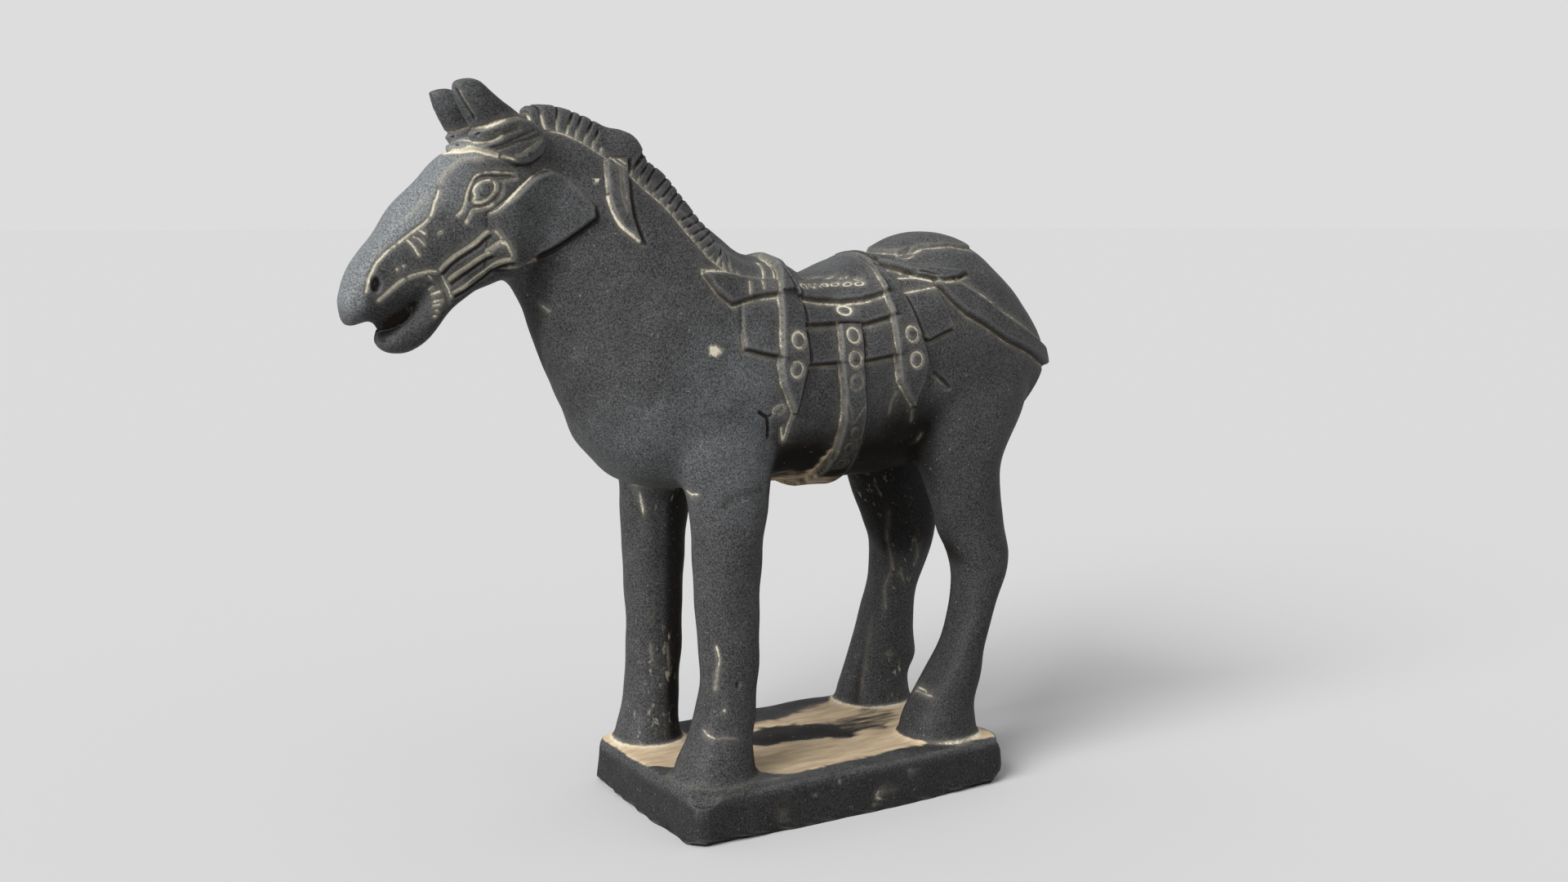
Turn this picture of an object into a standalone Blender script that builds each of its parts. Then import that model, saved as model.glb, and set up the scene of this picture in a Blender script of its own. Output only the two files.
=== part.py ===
"""A fired-clay horse standing on its plinth, pressed and fired in one piece.

The frame is in metres: +Z is up, the horse faces -X, its left side is at -Y, and the origin is
at the middle of the plinth's underside.
"""

import math

import bmesh
import bpy
import numpy as np
from mathutils import Vector
from mathutils.bvhtree import BVHTree

# The plinth, in metres.
PLINTH_LENGTH = 0.151
PLINTH_WIDTH = 0.097
PLINTH_HEIGHT = 0.0185
PLINTH_BACK = 0.0003
PLINTH_ASIDE = -0.002
PLINTH_CORNER = 0.011
PLINTH_NEAR_CORNER = 0.006
PLINTH_CORNER_STEPS = 5
PLINTH_LEAN = 0.0015

# The horse from the plinth's top to its ear tips, in metres.
HORSE_HEIGHT = 0.2625

# The relief on the horse, in metres: how far each thing stands out, and how the lines are cut.
STRAP_STANDS = 0.0026
STRAP_OVER_CLOTH = 0.0008
SEAT_STANDS = 0.0026
SKIRT_STANDS = 0.0018
PANEL_STANDS = 0.0012
TACK_EDGE = 0.0009
CHEEK_STANDS = 0.0032
CHEEK_SOFT_START = 14
FORELOCK_STANDS = 0.0014
LOCK_STANDS = 0.0018
LINE_WIDTH = 0.0013
LINE_DEPTH = 0.0009
FINE_LINE_WIDTH = 0.0009
STUD_RADIUS = 0.0034
STUD_STANDS = 0.0009
MANE_NOTCH_PITCH = 0.0035
MANE_NOTCH_DEPTH = 0.0013
MANE_NOTCH_SHARPNESS = 2.2
EYE_STANDS = 0.0009
NOSTRIL_RADIUS = 0.0022
NOSTRIL_DEPTH = 0.0018

# The joints are thumbed over in coarse clay, and the relief is carved in fine clay.
JOINT_GRAIN = 0.0020
JOINT_ROUNDS = 6
CLAY_GRAIN = 0.00095
SMOOTHING_ROUNDS = 8
SMOOTHING = 0.5
TRIANGLES_KEPT = 9700
SHARP_ANGLE = math.radians(40)

# The look of clay fired grey-black in smoke.
CLAY_COLOUR = (0.045, 0.047, 0.052, 1)
CLAY_ROUGHNESS = 0.85

# The figure keeps its proportions. The stations below are in parts of its height, chosen so
# that at the modelled height one part is one millimetre. Z is counted from the plinth's top.
PARTS_HIGH = 262.5
PART = HORSE_HEIGHT / PARTS_HIGH

RING_POINTS = 32
STEPS_BETWEEN_STATIONS = 3
# The plinth is made this much deeper than it is, and then cut off flat.
CUT_BELOW = 0.004

# Solid forms. Each station is the oval's two ends in the side view (x, z, x, z), its half width,
# how far its middle is from the centre plane, and its squareness (2 is round).
TRUNK = (
    (-117, 250, -129.8, 208.5, 10.5, 0, 2),
    (-108, 251, -128, 198.5, 12.5, 0, 2),
    (-97, 248, -121, 187, 15.5, 0, 2.1),
    (-84, 242, -114.8, 173, 19.5, 0, 2.1),
    (-71, 232, -108.5, 158, 24, 0, 2.2),
    (-58, 221, -101.5, 142, 30, 0, 2.2),
    (-45, 209, -92.5, 126.5, 35, 0, 2.3),
    (-31, 200, -78, 114, 38, 0, 2.3),
    (-17, 198, -48, 110, 39.5, 0, 2.3),
    (0, 190.5, -10, 110, 39, 0, 2.2),
    (20, 197, 18, 109, 38.5, 0, 2.2),
    (38, 201.6, 40, 110.5, 38, 0, 2.2),
    (54, 208, 60, 112, 37.5, 0, 2.2),
    (70, 207.5, 77, 114, 37, 0, 2.2),
    (83, 201, 90, 118, 35, 0, 2.2),
    (97, 188.5, 100, 128, 31, 0, 2.2),
    (110, 170.5, 109.5, 140, 24, 0, 2.2),
    (115, 158, 115, 150, 12, 0, 2),
)

HEAD = (
    (-98, 246, -100, 214, 11, 0, 2),
    (-112, 249, -111, 203, 15, 0, 2),
    (-126, 250, -120, 193.5, 16, 0, 2.2),
    (-136.4, 244.6, -128, 192.5, 17.5, 0, 2.4),
    (-149.5, 236.2, -136, 189.5, 17, 0, 2.4),
    (-157.3, 228.4, -144.5, 189.5, 15, 0, 2.4),
    (-165.8, 219.9, -153.5, 190.5, 13, 0, 2.5),
    (-172.6, 210.4, -161.5, 187.2, 11.5, 0, 2.6),
    (-178.9, 203.2, -169.5, 183, 10.5, 0, 2.6),
    (-183.8, 195, -177.5, 179, 9.5, 0, 2.5),
    (-186.5, 187.5, -184.8, 176.7, 7.5, 0, 2.2),
)

LOWER_JAW = (
    (-148, 196, -139, 188.5, 12.5, 0, 2.2),
    (-156.5, 192, -147, 182.4, 11.5, 0, 2.3),
    (-160, 186, -151.7, 176.7, 10.5, 0, 2.3),
    (-163.8, 180.6, -156.7, 171.4, 10, 0, 2.3),
    (-168.5, 177.3, -163.6, 167.3, 9, 0, 2.3),
    (-172.2, 175.8, -169.6, 167.4, 7.8, 0, 2.2),
    (-174.6, 174.2, -173.6, 169.4, 5.5, 0, 2),
)

# The clay left standing between the jaws, on the centre plane.
MOUTH_WALL = (
    (-156, 194, -151, 188, 4, 0, 3),
    (-162, 192, -157, 181, 3.2, 0, 3),
    (-167.5, 189, -164, 174, 3, 0, 3),
    (-171.5, 186, -170, 171, 2.8, 0, 3),
    (-173.3, 184, -174, 172, 2.2, 0, 3),
)

EAR = (
    (-134, 232, -106, 236, 6, 9, 2),
    (-140, 242, -111.5, 244, 6, 11, 2),
    (-144.5, 250, -121.5, 250.3, 6, 12.5, 2),
    (-148, 257, -131, 256.8, 5.5, 13, 2),
    (-149.3, 262.3, -139, 263.7, 3.5, 13, 2),
)

FAR_EAR = (
    (-134, 232, -106, 236, 6, 9, 2),
    (-140, 242, -112, 243, 6, 11, 2),
    (-144.3, 250, -123, 249.3, 6, 12.5, 2),
    (-147.3, 256, -131, 256, 5.5, 13, 2),
    (-148.5, 260.5, -139, 262, 3.5, 13, 2),
)

MANE = (
    (-121, 250.3, -114, 236, 4, 0, 3),
    (-117, 255.7, -110, 240, 5, 0, 3),
    (-108, 256.5, -104, 240, 5.5, 0, 3),
    (-97, 254, -98, 236, 6, 0, 3),
    (-86, 249.5, -90, 232, 6, 0, 3),
    (-76.5, 242.5, -84, 226, 6, 0, 3),
    (-64.5, 234.8, -72, 217, 6, 0, 3),
    (-55.5, 226.6, -64, 208, 6, 0, 3),
    (-42.5, 212.6, -51, 194, 6, 0, 3),
    (-30, 202.5, -38, 185, 6.5, 0, 3),
    (-20, 200, -24, 180, 8, 0, 2.5),
)

KNOT = (
    (-88, 247, -84, 233, 7, 0, 3),
    (-82, 248.5, -78, 231, 10, 0, 3),
    (-75, 246, -71.8, 229, 10, 0, 3),
    (-71.2, 240, -69.2, 231.5, 8.5, 0, 3),
)

TAIL = (
    (96, 190, 96, 172, 6, 0, 2),
    (112, 182, 104, 170, 7, 0, 2),
    (117.8, 168, 108, 164, 7.5, 0, 2),
    (118.2, 155, 106, 150, 7.5, 0, 2),
    (116, 143, 103, 140, 6.5, 0, 2),
    (109, 133, 99, 134, 4, 0, 2),
)

FRONT_LEG = (
    (-70, 158, -28, 158, 10, 20, 2),
    (-70.5, 140, -27, 140, 13, 23.5, 2),
    (-68, 124, -28.5, 124, 14.5, 25.5, 2),
    (-63.5, 108, -31.5, 108, 14, 27, 2),
    (-62.3, 90, -34.5, 90, 13, 28, 2.2),
    (-61.3, 68, -35.8, 68, 11.5, 28, 2.2),
    (-60, 45, -36.2, 45, 11, 28, 2.2),
    (-60.5, 30, -38, 30, 11.5, 28, 2.2),
    (-65, 16, -39, 14, 13, 28, 2.2),
    (-70, 4, -39, 4, 15, 28, 2.2),
    (-71, -6, -38, -6, 15.5, 28, 2.2),
)

FAR_FRONT_LEG = (
    (-72, 158, -30, 158, 10, 20, 2),
    (-72.2, 140, -28.2, 140, 13, 24, 2),
    (-69.9, 124, -29.9, 124, 14.5, 26.5, 2),
    (-65.9, 108, -34.4, 108, 14, 28.5, 2),
    (-64.9, 90, -37.4, 90, 13, 29.5, 2.2),
    (-64, 68, -39.2, 68, 11.5, 29.5, 2.2),
    (-63, 45, -40, 45, 11, 29.5, 2.2),
    (-63.5, 30, -41, 30, 11.5, 29.5, 2.2),
    (-65, 16, -42, 14, 12, 29.5, 2.2),
    (-68, 4, -42, 4, 13.5, 29, 2.2),
    (-69, -6, -41, -6, 14, 29, 2.2),
)

HIND_LEG = (
    (40, 180, 98, 172, 11, 15, 2),
    (36, 158, 102.5, 158, 14, 19.5, 2),
    (38, 142, 101.5, 146, 15.5, 22, 2),
    (42, 120, 92, 128, 15, 24, 2),
    (48.3, 104, 82, 112, 13.5, 26, 2),
    (54.5, 84, 84.3, 90, 12, 27, 2),
    (61, 70, 85.3, 72, 12, 28, 2.2),
    (61.3, 56, 79.5, 56, 11, 28, 2.2),
    (57.2, 40, 74.4, 40, 11, 28, 2.2),
    (49.5, 27, 72, 27, 12, 28, 2.2),
    (41, 16, 68.5, 14, 13, 28, 2.2),
    (37, 5, 68, 4, 15, 28, 2.2),
    (36, -6, 69, -6, 15.5, 28, 2.2),
)

FAR_HIND_LEG = (
    (40, 180, 98, 172, 11, 15, 2),
    (35, 158, 102, 158, 14, 19.5, 2),
    (36, 142, 101, 146, 15.5, 22, 2),
    (37.5, 120, 94, 128, 15, 24, 2),
    (43, 104, 87, 112, 14, 26, 2),
    (51.8, 84, 88.6, 90, 13, 27, 2),
    (57.5, 70, 87.2, 72, 13, 28, 2.2),
    (57.5, 56, 80, 56, 12, 28, 2.2),
    (53.3, 40, 76.3, 40, 12, 28, 2.2),
    (49.3, 28, 77, 28, 13, 28, 2.2),
    (46.7, 21, 77.8, 20, 13, 28, 2.2),
    (44.2, 15, 73.6, 13, 13, 28, 2.2),
    (41, 5, 73.6, 4, 15, 28, 2.2),
    (40, -6, 75, -6, 15.5, 28, 2.2),
)

# Raised shapes on the flanks. Those that run lengthways have stations (x, lower z, upper z).
OVER_THE_BACK = 230
SEAT = (
    (-20, 184.2, OVER_THE_BACK),
    (-10, 182.4, OVER_THE_BACK),
    (3, 181.3, OVER_THE_BACK),
    (12, 182.3, OVER_THE_BACK),
    (25, 185.5, OVER_THE_BACK),
)
SKIRT = ((-20, 174.3, 190), (-11.5, 174, 190), (10, 173.6, 190), (25, 176.8, 190))
LOWER_PANEL = ((-20, 159.5, 180), (9, 160, 180), (25, 162, 180))
FRONT_PANEL = ((-46.5, 166.5, 172), (-44, 166, 186), (-38, 164.5, 187), (-26, 162, 187))
SADDLE_TAB = (
    (-59, 194.5, 196),
    (-54.5, 187.5, 195.5),
    (-49, 183, 195),
    (-38.5, 185, 193),
    (-20, 186, 190),
)
REAR_PANEL = ((30, 170, 185), (38.5, 166.5, 186), (46.5, 169.5, 187), (51.5, 171, 172.5))
CANTLE_BAR = (
    (27, 196.5, 201),
    (35, 194.5, 199),
    (42, 191.5, 195.5),
    (50, 189.5, 195),
    (57, 190.5, 194.5),
    (63, 192.5, 194),
)
BACK_CLOTH = (
    (33, 201.5, OVER_THE_BACK),
    (45, 201, OVER_THE_BACK),
    (50, 203, OVER_THE_BACK),
    (63, 204, OVER_THE_BACK),
    (77, 202, OVER_THE_BACK),
)
CRUPPER = (
    (47, 187.5, 193),
    (52, 182, 192),
    (58, 176.5, 190),
    (68, 171.5, 184),
    (79, 165, 176.5),
    (91, 160.5, 170.5),
    (102, 155.5, 165),
    (112, 151.5, 160.5),
)
CHEEK = (
    (-138, 197, 216.5),
    (-131, 197, 221.5),
    (-126, 198, 225.5),
    (-122, 200, 228.5),
    (-118, 201.5, 231),
    (-113, 203.7, 232.3),
    (-108, 207, 230.6),
    (-103, 210.5, 226.3),
    (-97, 214.8, 218.8),
)
FORELOCK = (
    (-165, 238.5, 244.5),
    (-140, 238.5, 245.5),
    (-133, 237, 248.5),
    (-126.5, 233.5, 250),
    (-121, 234, 249),
    (-116.5, 237, 246.5),
    (-114.5, 240.5, 243),
)

# Those that hang down have stations (z, front x, rear x).
FRONT_STRAP = (
    (141, -25.5, -24.5),
    (146, -28, -23.2),
    (153, -31.5, -21.3),
    (160.5, -32.8, -18.8),
    (164, -31.8, -18.8),
    (173, -30.5, -19.3),
    (184, -28.3, -18.2),
    (190, -25, -18),
    (194.3, -21, -16.8),
    (198, -19.5, -14.5),
    (204, -18, -13),
)
REAR_STRAP = (
    (140.5, 31.5, 32.5),
    (145, 27.5, 33.2),
    (151, 23, 36.3),
    (159, 22, 37.8),
    (166, 22, 36),
    (173, 22.2, 34),
    (182, 22.3, 31.8),
    (190, 23.3, 29.3),
    (196, 24.7, 28.6),
    (206, 26, 29.8),
)
GIRTH = (
    (105, -8, 8),
    (113, -6, 9),
    (118, -3.5, 9),
    (126, -2.8, 8.6),
    (136, -3, 8.4),
    (148, -3.5, 7),
    (160, -4.8, 6.5),
    (174, -2.6, 8.6),
)
NECK_LOCK = (
    (205.5, -81.8, -80.8),
    (211, -88, -82),
    (215, -90.2, -82.8),
    (222, -92, -83),
    (230, -91.4, -81.7),
    (237, -90, -79.5),
)

# Lines cut into the head and the flanks, as (x, z) points.
BROW = (
    (-149.3, 215.5),
    (-145.8, 220.5),
    (-144.9, 223.7),
    (-143.3, 227.1),
    (-141.6, 229.6),
    (-139.2, 230.8),
    (-126, 230.9),
)
LOWER_LID = (
    (-146.4, 212.5),
    (-143.5, 217.9),
    (-140.3, 218.3),
    (-137.4, 219.1),
    (-135.2, 220.3),
    (-133.4, 222.6),
    (-132.4, 227),
)
MUZZLE_LINE = (
    (-153.7, 225.6),
    (-155.7, 220.3),
    (-157.8, 215.2),
    (-162.4, 211.3),
    (-169, 206.2),
    (-174.8, 201),
    (-177.7, 196.5),
    (-180, 189),
)
FOREHEAD_ARC = ((-152, 226.5), (-149.5, 230.5), (-146, 234), (-139, 236.5))
LIP_LINE = (
    (-176.2, 186.1),
    (-171, 190.5),
    (-166, 194.4),
    (-160.2, 196.3),
    (-156, 195),
    (-152.1, 189.6),
    (-150.5, 183.8),
)
BRIDLE_UPPER = (
    (-154.5, 196.5),
    (-148.9, 202.2),
    (-142.3, 206.7),
    (-137.4, 210.8),
    (-135.7, 210.7),
    (-132.9, 207.5),
    (-128.8, 201.4),
)
BRIDLE_MIDDLE = ((-151.3, 193.3), (-144.9, 197.8), (-139, 202.1), (-133.5, 206.9))
BRIDLE_LOWER = ((-150, 188.7), (-146.3, 190.4), (-137.6, 196.3), (-134.6, 199.2), (-128.8, 201.4))
CHEEK_LINE = (
    (-138, 216.3),
    (-132.6, 219.5),
    (-125.7, 225.5),
    (-119.3, 230.5),
    (-116, 232),
    (-112.7, 232.2),
    (-108, 230.8),
    (-101.4, 224.6),
    (-96.8, 218.2),
)
TAB_TOP = ((-58.5, 195.5), (-38.5, 193), (-23, 190))
TAB_FOLD = ((-38.7, 191.4), (-41.4, 185))
GIRTH_POINT = ((-2.8, 146.6), (0.5, 137.3), (6.1, 144.3))
FLANK_SLIT = ((41, 154), (46, 150.6), (50.6, 146.6))
LINES = (
    BROW,
    LOWER_LID,
    MUZZLE_LINE,
    FOREHEAD_ARC,
    LIP_LINE,
    BRIDLE_UPPER,
    BRIDLE_MIDDLE,
    BRIDLE_LOWER,
    CHEEK_LINE,
    TAB_TOP,
    TAB_FOLD,
    GIRTH_POINT,
    FLANK_SLIT,
)

MUZZLE_TICKS = (((-166, 208.2), (-161.1, 201.4)), ((-164.6, 209), (-159.4, 205.2)))
FORELOCK_PARTING = ((-150, 240), (-143.4, 241.2), (-136.3, 241.7), (-131.3, 244.3))
FORELOCK_UPPER_STRAND = ((-146, 244), (-140.1, 245.9), (-133.6, 247.9), (-129.8, 249.5))
FORELOCK_LOWER_STRAND = ((-127.8, 237.1), (-121.8, 239.8), (-116.7, 242.8))
EAR_FOLD = ((-147.3, 259.5), (-145.9, 256.6), (-144, 253.3), (-141.7, 249.5))
LOCK_STRAND = ((-86.1, 234.2), (-87.1, 225.9), (-85.5, 216.1))
CANTLE_SLOT = ((33.5, 193.5), (43.9, 193.1), (48.9, 191.2))
FINE_LINES = MUZZLE_TICKS + (
    FORELOCK_PARTING,
    FORELOCK_UPPER_STRAND,
    FORELOCK_LOWER_STRAND,
    EAR_FOLD,
    LOCK_STRAND,
    CANTLE_SLOT,
)

# Single places in the side view, as (x, z), and what is around them.
EYE = (-138.8, 224.4)
EYE_LONG = 4.1
EYE_HIGH = 3.7
NOSTRIL = (-176.3, 192.2)
FRONT_STRAP_STUDS = ((-24.2, 168.9), (-25.7, 158.3))
REAR_STRAP_STUDS = ((29.5, 169.3), (30.6, 159.5))
GIRTH_STUDS = ((2.4, 178.3), (2.6, 169.3), (1.7, 160.7), (1.4, 152.4))
MANE_FOOT = (
    (-120, 247.5),
    (-109, 246.3),
    (-104.8, 245.5),
    (-97.9, 242.4),
    (-90.1, 237.8),
    (-80.4, 230.5),
    (-73.3, 224.3),
    (-65, 215.3),
    (-59.3, 207.2),
    (-54, 200.2),
    (-49.7, 196.3),
    (-41.7, 193.2),
)
MANE_HALF_WIDTH = 7.5
MANE_SPREADS_FROM = -109
KNOT_FRONT = -89.5
KNOT_REAR = -79
KNOT_FOOT = 233
KNOT_LEAN = 0.62
MOUTH = (-165.5, 0, 180)
MOUTH_RADII = (9, 5.4, 5.5)
MOUTH_OPENING = math.radians(120)


def blended(before, start, end, after, share):
    """A smooth curve from start to end that also heeds the value on each side of them."""
    slope_in = (end - before) / 2
    slope_out = (after - start) / 2
    cube = 2 * (start - end) + slope_in + slope_out
    square = 3 * (end - start) - 2 * slope_in - slope_out
    return ((cube * share + square) * share + slope_in) * share + start


def filled_in(stations):
    """The stations with smooth steps between each two of them."""
    last = len(stations) - 1
    rows = []
    for i in range(last):
        around = [stations[max(0, min(last, i + step))] for step in (-1, 0, 1, 2)]
        for step in range(STEPS_BETWEEN_STATIONS):
            share = step / STEPS_BETWEEN_STATIONS
            rows.append([blended(*values, share) for values in zip(*around)])
    rows.append(list(stations[-1]))
    return rows


def oval(bm, row, side):
    """One closed oval of a form, standing across the side view from one point to another."""
    x1, z1, x2, z2, half_width, middle, power = row
    made = bmesh.ops.create_circle(bm, radius=1.0, segments=RING_POINTS)
    start = Vector((x1, 0, z1))
    end = Vector((x2, 0, z2))
    for vert in made["verts"]:
        along, across = vert.co.x, vert.co.y
        along = math.copysign(abs(along) ** (2 / power), along)
        across = math.copysign(abs(across) ** (2 / power), across)
        place = (start + end) / 2 + (start - end) / 2 * along
        place.y = side * (middle + half_width * across)
        vert.co = place * PART
    return list({edge for vert in made["verts"] for edge in vert.link_edges})


def form(bm, stations, side=1):
    """A closed solid skinned over the ovals at its stations."""
    rings = [oval(bm, row, side) for row in filled_in(stations)]
    for ring, following in zip(rings, rings[1:]):
        bmesh.ops.bridge_loops(bm, edges=ring + following)
    bmesh.ops.contextual_create(bm, geom=rings[0])
    bmesh.ops.contextual_create(bm, geom=rings[-1])


def plinth(bm):
    """The block under the hooves: rounded corners, the one at the left shoulder less so."""
    made = bmesh.ops.create_cube(bm, size=1.0)
    for vert in made["verts"]:
        lean = PLINTH_LEAN if vert.co.z > 0 else 0
        vert.co.x = vert.co.x * (PLINTH_LENGTH - 2 * lean) + PLINTH_BACK
        vert.co.y = vert.co.y * (PLINTH_WIDTH - 2 * lean) + PLINTH_ASIDE
        vert.co.z = 0 if vert.co.z > 0 else -PLINTH_HEIGHT - CUT_BELOW
    edges = {edge for vert in made["verts"] for edge in vert.link_edges}
    upright = [edge for edge in edges if abs(edge.verts[0].co.z - edge.verts[1].co.z) > CUT_BELOW]
    near = [edge for edge in upright if max(edge.verts[0].co.x, edge.verts[0].co.y) < 0]
    others = [edge for edge in upright if edge not in near]
    for corners, radius in ((near, PLINTH_NEAR_CORNER), (others, PLINTH_CORNER)):
        bmesh.ops.bevel(
            bm,
            geom=corners,
            offset=radius,
            affect="EDGES",
            segments=PLINTH_CORNER_STEPS,
            profile=0.5,
            material=-1,
        )


def modified(mesh, name, **settings):
    """A copy of the mesh as one modifier leaves it."""
    holder = bpy.data.objects.new(name, mesh)
    bpy.context.scene.collection.objects.link(holder)
    modifier = holder.modifiers.new(name, name)
    for setting, value in settings.items():
        setattr(modifier, setting, value)
    graph = bpy.context.evaluated_depsgraph_get()
    result = bpy.data.meshes.new_from_object(holder.evaluated_get(graph))
    bpy.data.objects.remove(holder)
    bpy.data.meshes.remove(mesh)
    return result


def fused_clay():
    """All the forms and the plinth pressed into one closed skin."""
    bm = bmesh.new()
    for stations in (TRUNK, HEAD, LOWER_JAW, MOUTH_WALL, MANE, KNOT, TAIL):
        form(bm, stations)
    for stations in (EAR, FRONT_LEG, HIND_LEG):
        form(bm, stations, side=-1)
    for stations in (FAR_EAR, FAR_FRONT_LEG, FAR_HIND_LEG):
        form(bm, stations)
    plinth(bm)
    bmesh.ops.recalc_face_normals(bm, faces=bm.faces)
    mesh = bpy.data.meshes.new("forms")
    bm.to_mesh(mesh)
    bm.free()
    for grain, rounds in ((JOINT_GRAIN, JOINT_ROUNDS), (CLAY_GRAIN, SMOOTHING_ROUNDS)):
        mesh = modified(mesh, "REMESH", mode="VOXEL", voxel_size=grain)
        mesh = modified(mesh, "SMOOTH", factor=SMOOTHING, iterations=rounds)
    return mesh


def eased(value):
    """0 up to 1, with no corner at either end."""
    value = np.clip(value, 0, 1)
    return value * value * (3 - 2 * value)


class Skin:
    """The clay's surface while it is carved. Both flanks are carved alike."""

    def __init__(self, mesh, bm):
        self.tree = BVHTree.FromBMesh(bm)
        self.points = self.read(mesh, "co") / PART
        self.normals = self.read(mesh, "normal")
        self.x, y, self.z = self.points.T
        self.from_middle = abs(y)
        self.mirrored = np.stack([self.x, -self.from_middle, self.z], axis=1)
        self.raised = np.zeros(len(self.x))
        self.cut = np.zeros(len(self.x))

    def read(self, mesh, what):
        """One vector for each point of the mesh."""
        values = np.empty(3 * len(mesh.vertices), np.float32)
        mesh.vertices.foreach_get(what, values)
        return values.reshape(-1, 3).astype(float)

    def on_flank(self, x, z):
        """The point of the left flank at x and z in the side view."""
        origin = Vector((x, -PARTS_HIGH, z)) * PART
        hit = self.tree.ray_cast(origin, Vector((0, 1, 0)))[0]
        return np.array(hit) / PART if hit else np.array((x, 0, z))

    def raise_inside(self, inside, stands, over=0.0):
        """Lifts the places that are inside an outline, by their distance from it in parts."""
        target = np.maximum(stands, self.raised + over)
        self.raised += (target - self.raised) * eased(inside * PART / TACK_EDGE)

    def raise_lengthways(self, stations, stands, soft_start=1):
        """Its first end may rise more softly than its other edges, by so many times."""
        where, low, high = np.array(stations, dtype=float).T
        ends = np.minimum((self.x - where[0]) / soft_start, where[-1] - self.x)
        below = self.z - np.interp(self.x, where, low)
        above = np.interp(self.x, where, high) - self.z
        self.raise_inside(np.minimum(ends, np.minimum(below, above)), stands)

    def raise_hanging(self, stations, stands, over=0.0):
        where, front, rear = np.array(stations, dtype=float).T
        ends = np.minimum(self.z - where[0], where[-1] - self.z)
        before = self.x - np.interp(self.z, where, front)
        behind = np.interp(self.z, where, rear) - self.x
        self.raise_inside(np.minimum(ends, np.minimum(before, behind)), stands, over)

    def along(self, path):
        """The distance of each place from a path laid on the flank, and how far along it is."""
        points = np.array([self.on_flank(x, z) for x, z in path])
        nearest = np.full(len(self.x), np.inf)
        place = np.zeros(len(self.x))
        walked = 0.0
        for start, end in zip(points, points[1:]):
            step = end - start
            length = np.linalg.norm(step)
            share = np.clip((self.mirrored - start) @ step / length**2, 0, 1)
            gap = np.linalg.norm(self.mirrored - start - share[:, None] * step, axis=1)
            place = np.where(gap < nearest, walked + share * length, place)
            nearest = np.minimum(nearest, gap)
            walked += length
        return nearest * PART, place * PART

    def cut_line(self, path, width, depth):
        gap, _ = self.along(path)
        self.cut = np.maximum(self.cut, depth * eased(1 - gap / width))

    def add_stud(self, centre):
        gap = np.linalg.norm(self.mirrored - self.on_flank(*centre), axis=1) * PART
        self.raised += STUD_STANDS * eased((STUD_RADIUS - gap) / TACK_EDGE)

    def hollow(self, centre, radii, opening):
        """Scoops an egg-shaped hollow out of the skin that faces its opening."""
        outward = np.array((math.cos(opening), 0, math.sin(opening)))
        along = np.array((-outward[2], 0, outward[0]))
        away = self.points - np.array(centre)
        lengths = np.stack([away @ along, away[:, 1], away @ outward], axis=1) / np.array(radii)
        spare = 1 - lengths[:, 0] ** 2 - lengths[:, 1] ** 2
        inside = (spare > lengths[:, 2] ** 2) & (self.normals @ outward > 0)
        floor = -radii[2] * np.sqrt(np.maximum(spare, 0))
        sunk = np.where(inside, away @ outward - floor, 0)
        self.points = self.points - sunk[:, None] * outward

    def shaped(self):
        return self.points * PART + self.normals * (self.raised - self.cut)[:, None]


def carve_tack(skin):
    """The saddle, its cloths and the straps that hold them."""
    for stations in (LOWER_PANEL, FRONT_PANEL, REAR_PANEL, BACK_CLOTH):
        skin.raise_lengthways(stations, PANEL_STANDS)
    for stations in (SKIRT, SADDLE_TAB, CRUPPER, CANTLE_BAR):
        skin.raise_lengthways(stations, SKIRT_STANDS)
    skin.raise_lengthways(SEAT, SEAT_STANDS)
    for stations in (FRONT_STRAP, REAR_STRAP, GIRTH):
        skin.raise_hanging(stations, STRAP_STANDS, STRAP_OVER_CLOTH)
    for centre in FRONT_STRAP_STUDS + REAR_STRAP_STUDS + GIRTH_STUDS:
        skin.add_stud(centre)


def carve_head(skin):
    """The cheek plate, the forelock and the eye."""
    skin.raise_lengthways(CHEEK, CHEEK_STANDS, CHEEK_SOFT_START)
    skin.raise_lengthways(FORELOCK, FORELOCK_STANDS)
    skin.raise_hanging(NECK_LOCK, LOCK_STANDS)
    along = (skin.x - EYE[0]) / EYE_LONG
    upward = (skin.z - EYE[1]) / EYE_HIGH
    from_eye = np.sqrt(along**2 + upward**2)
    ring = abs(from_eye - 1) * EYE_HIGH * PART
    beside = skin.from_middle > EYE_LONG
    skin.cut = np.maximum(skin.cut, beside * LINE_DEPTH * eased(1 - ring / LINE_WIDTH))
    skin.raised = np.maximum(skin.raised, beside * EYE_STANDS * eased(2 - from_eye * 2))
    hole = np.linalg.norm(skin.mirrored - skin.on_flank(*NOSTRIL), axis=1) * PART
    skin.cut = np.maximum(skin.cut, NOSTRIL_DEPTH * eased(2 - 2 * hole / NOSTRIL_RADIUS))


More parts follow.
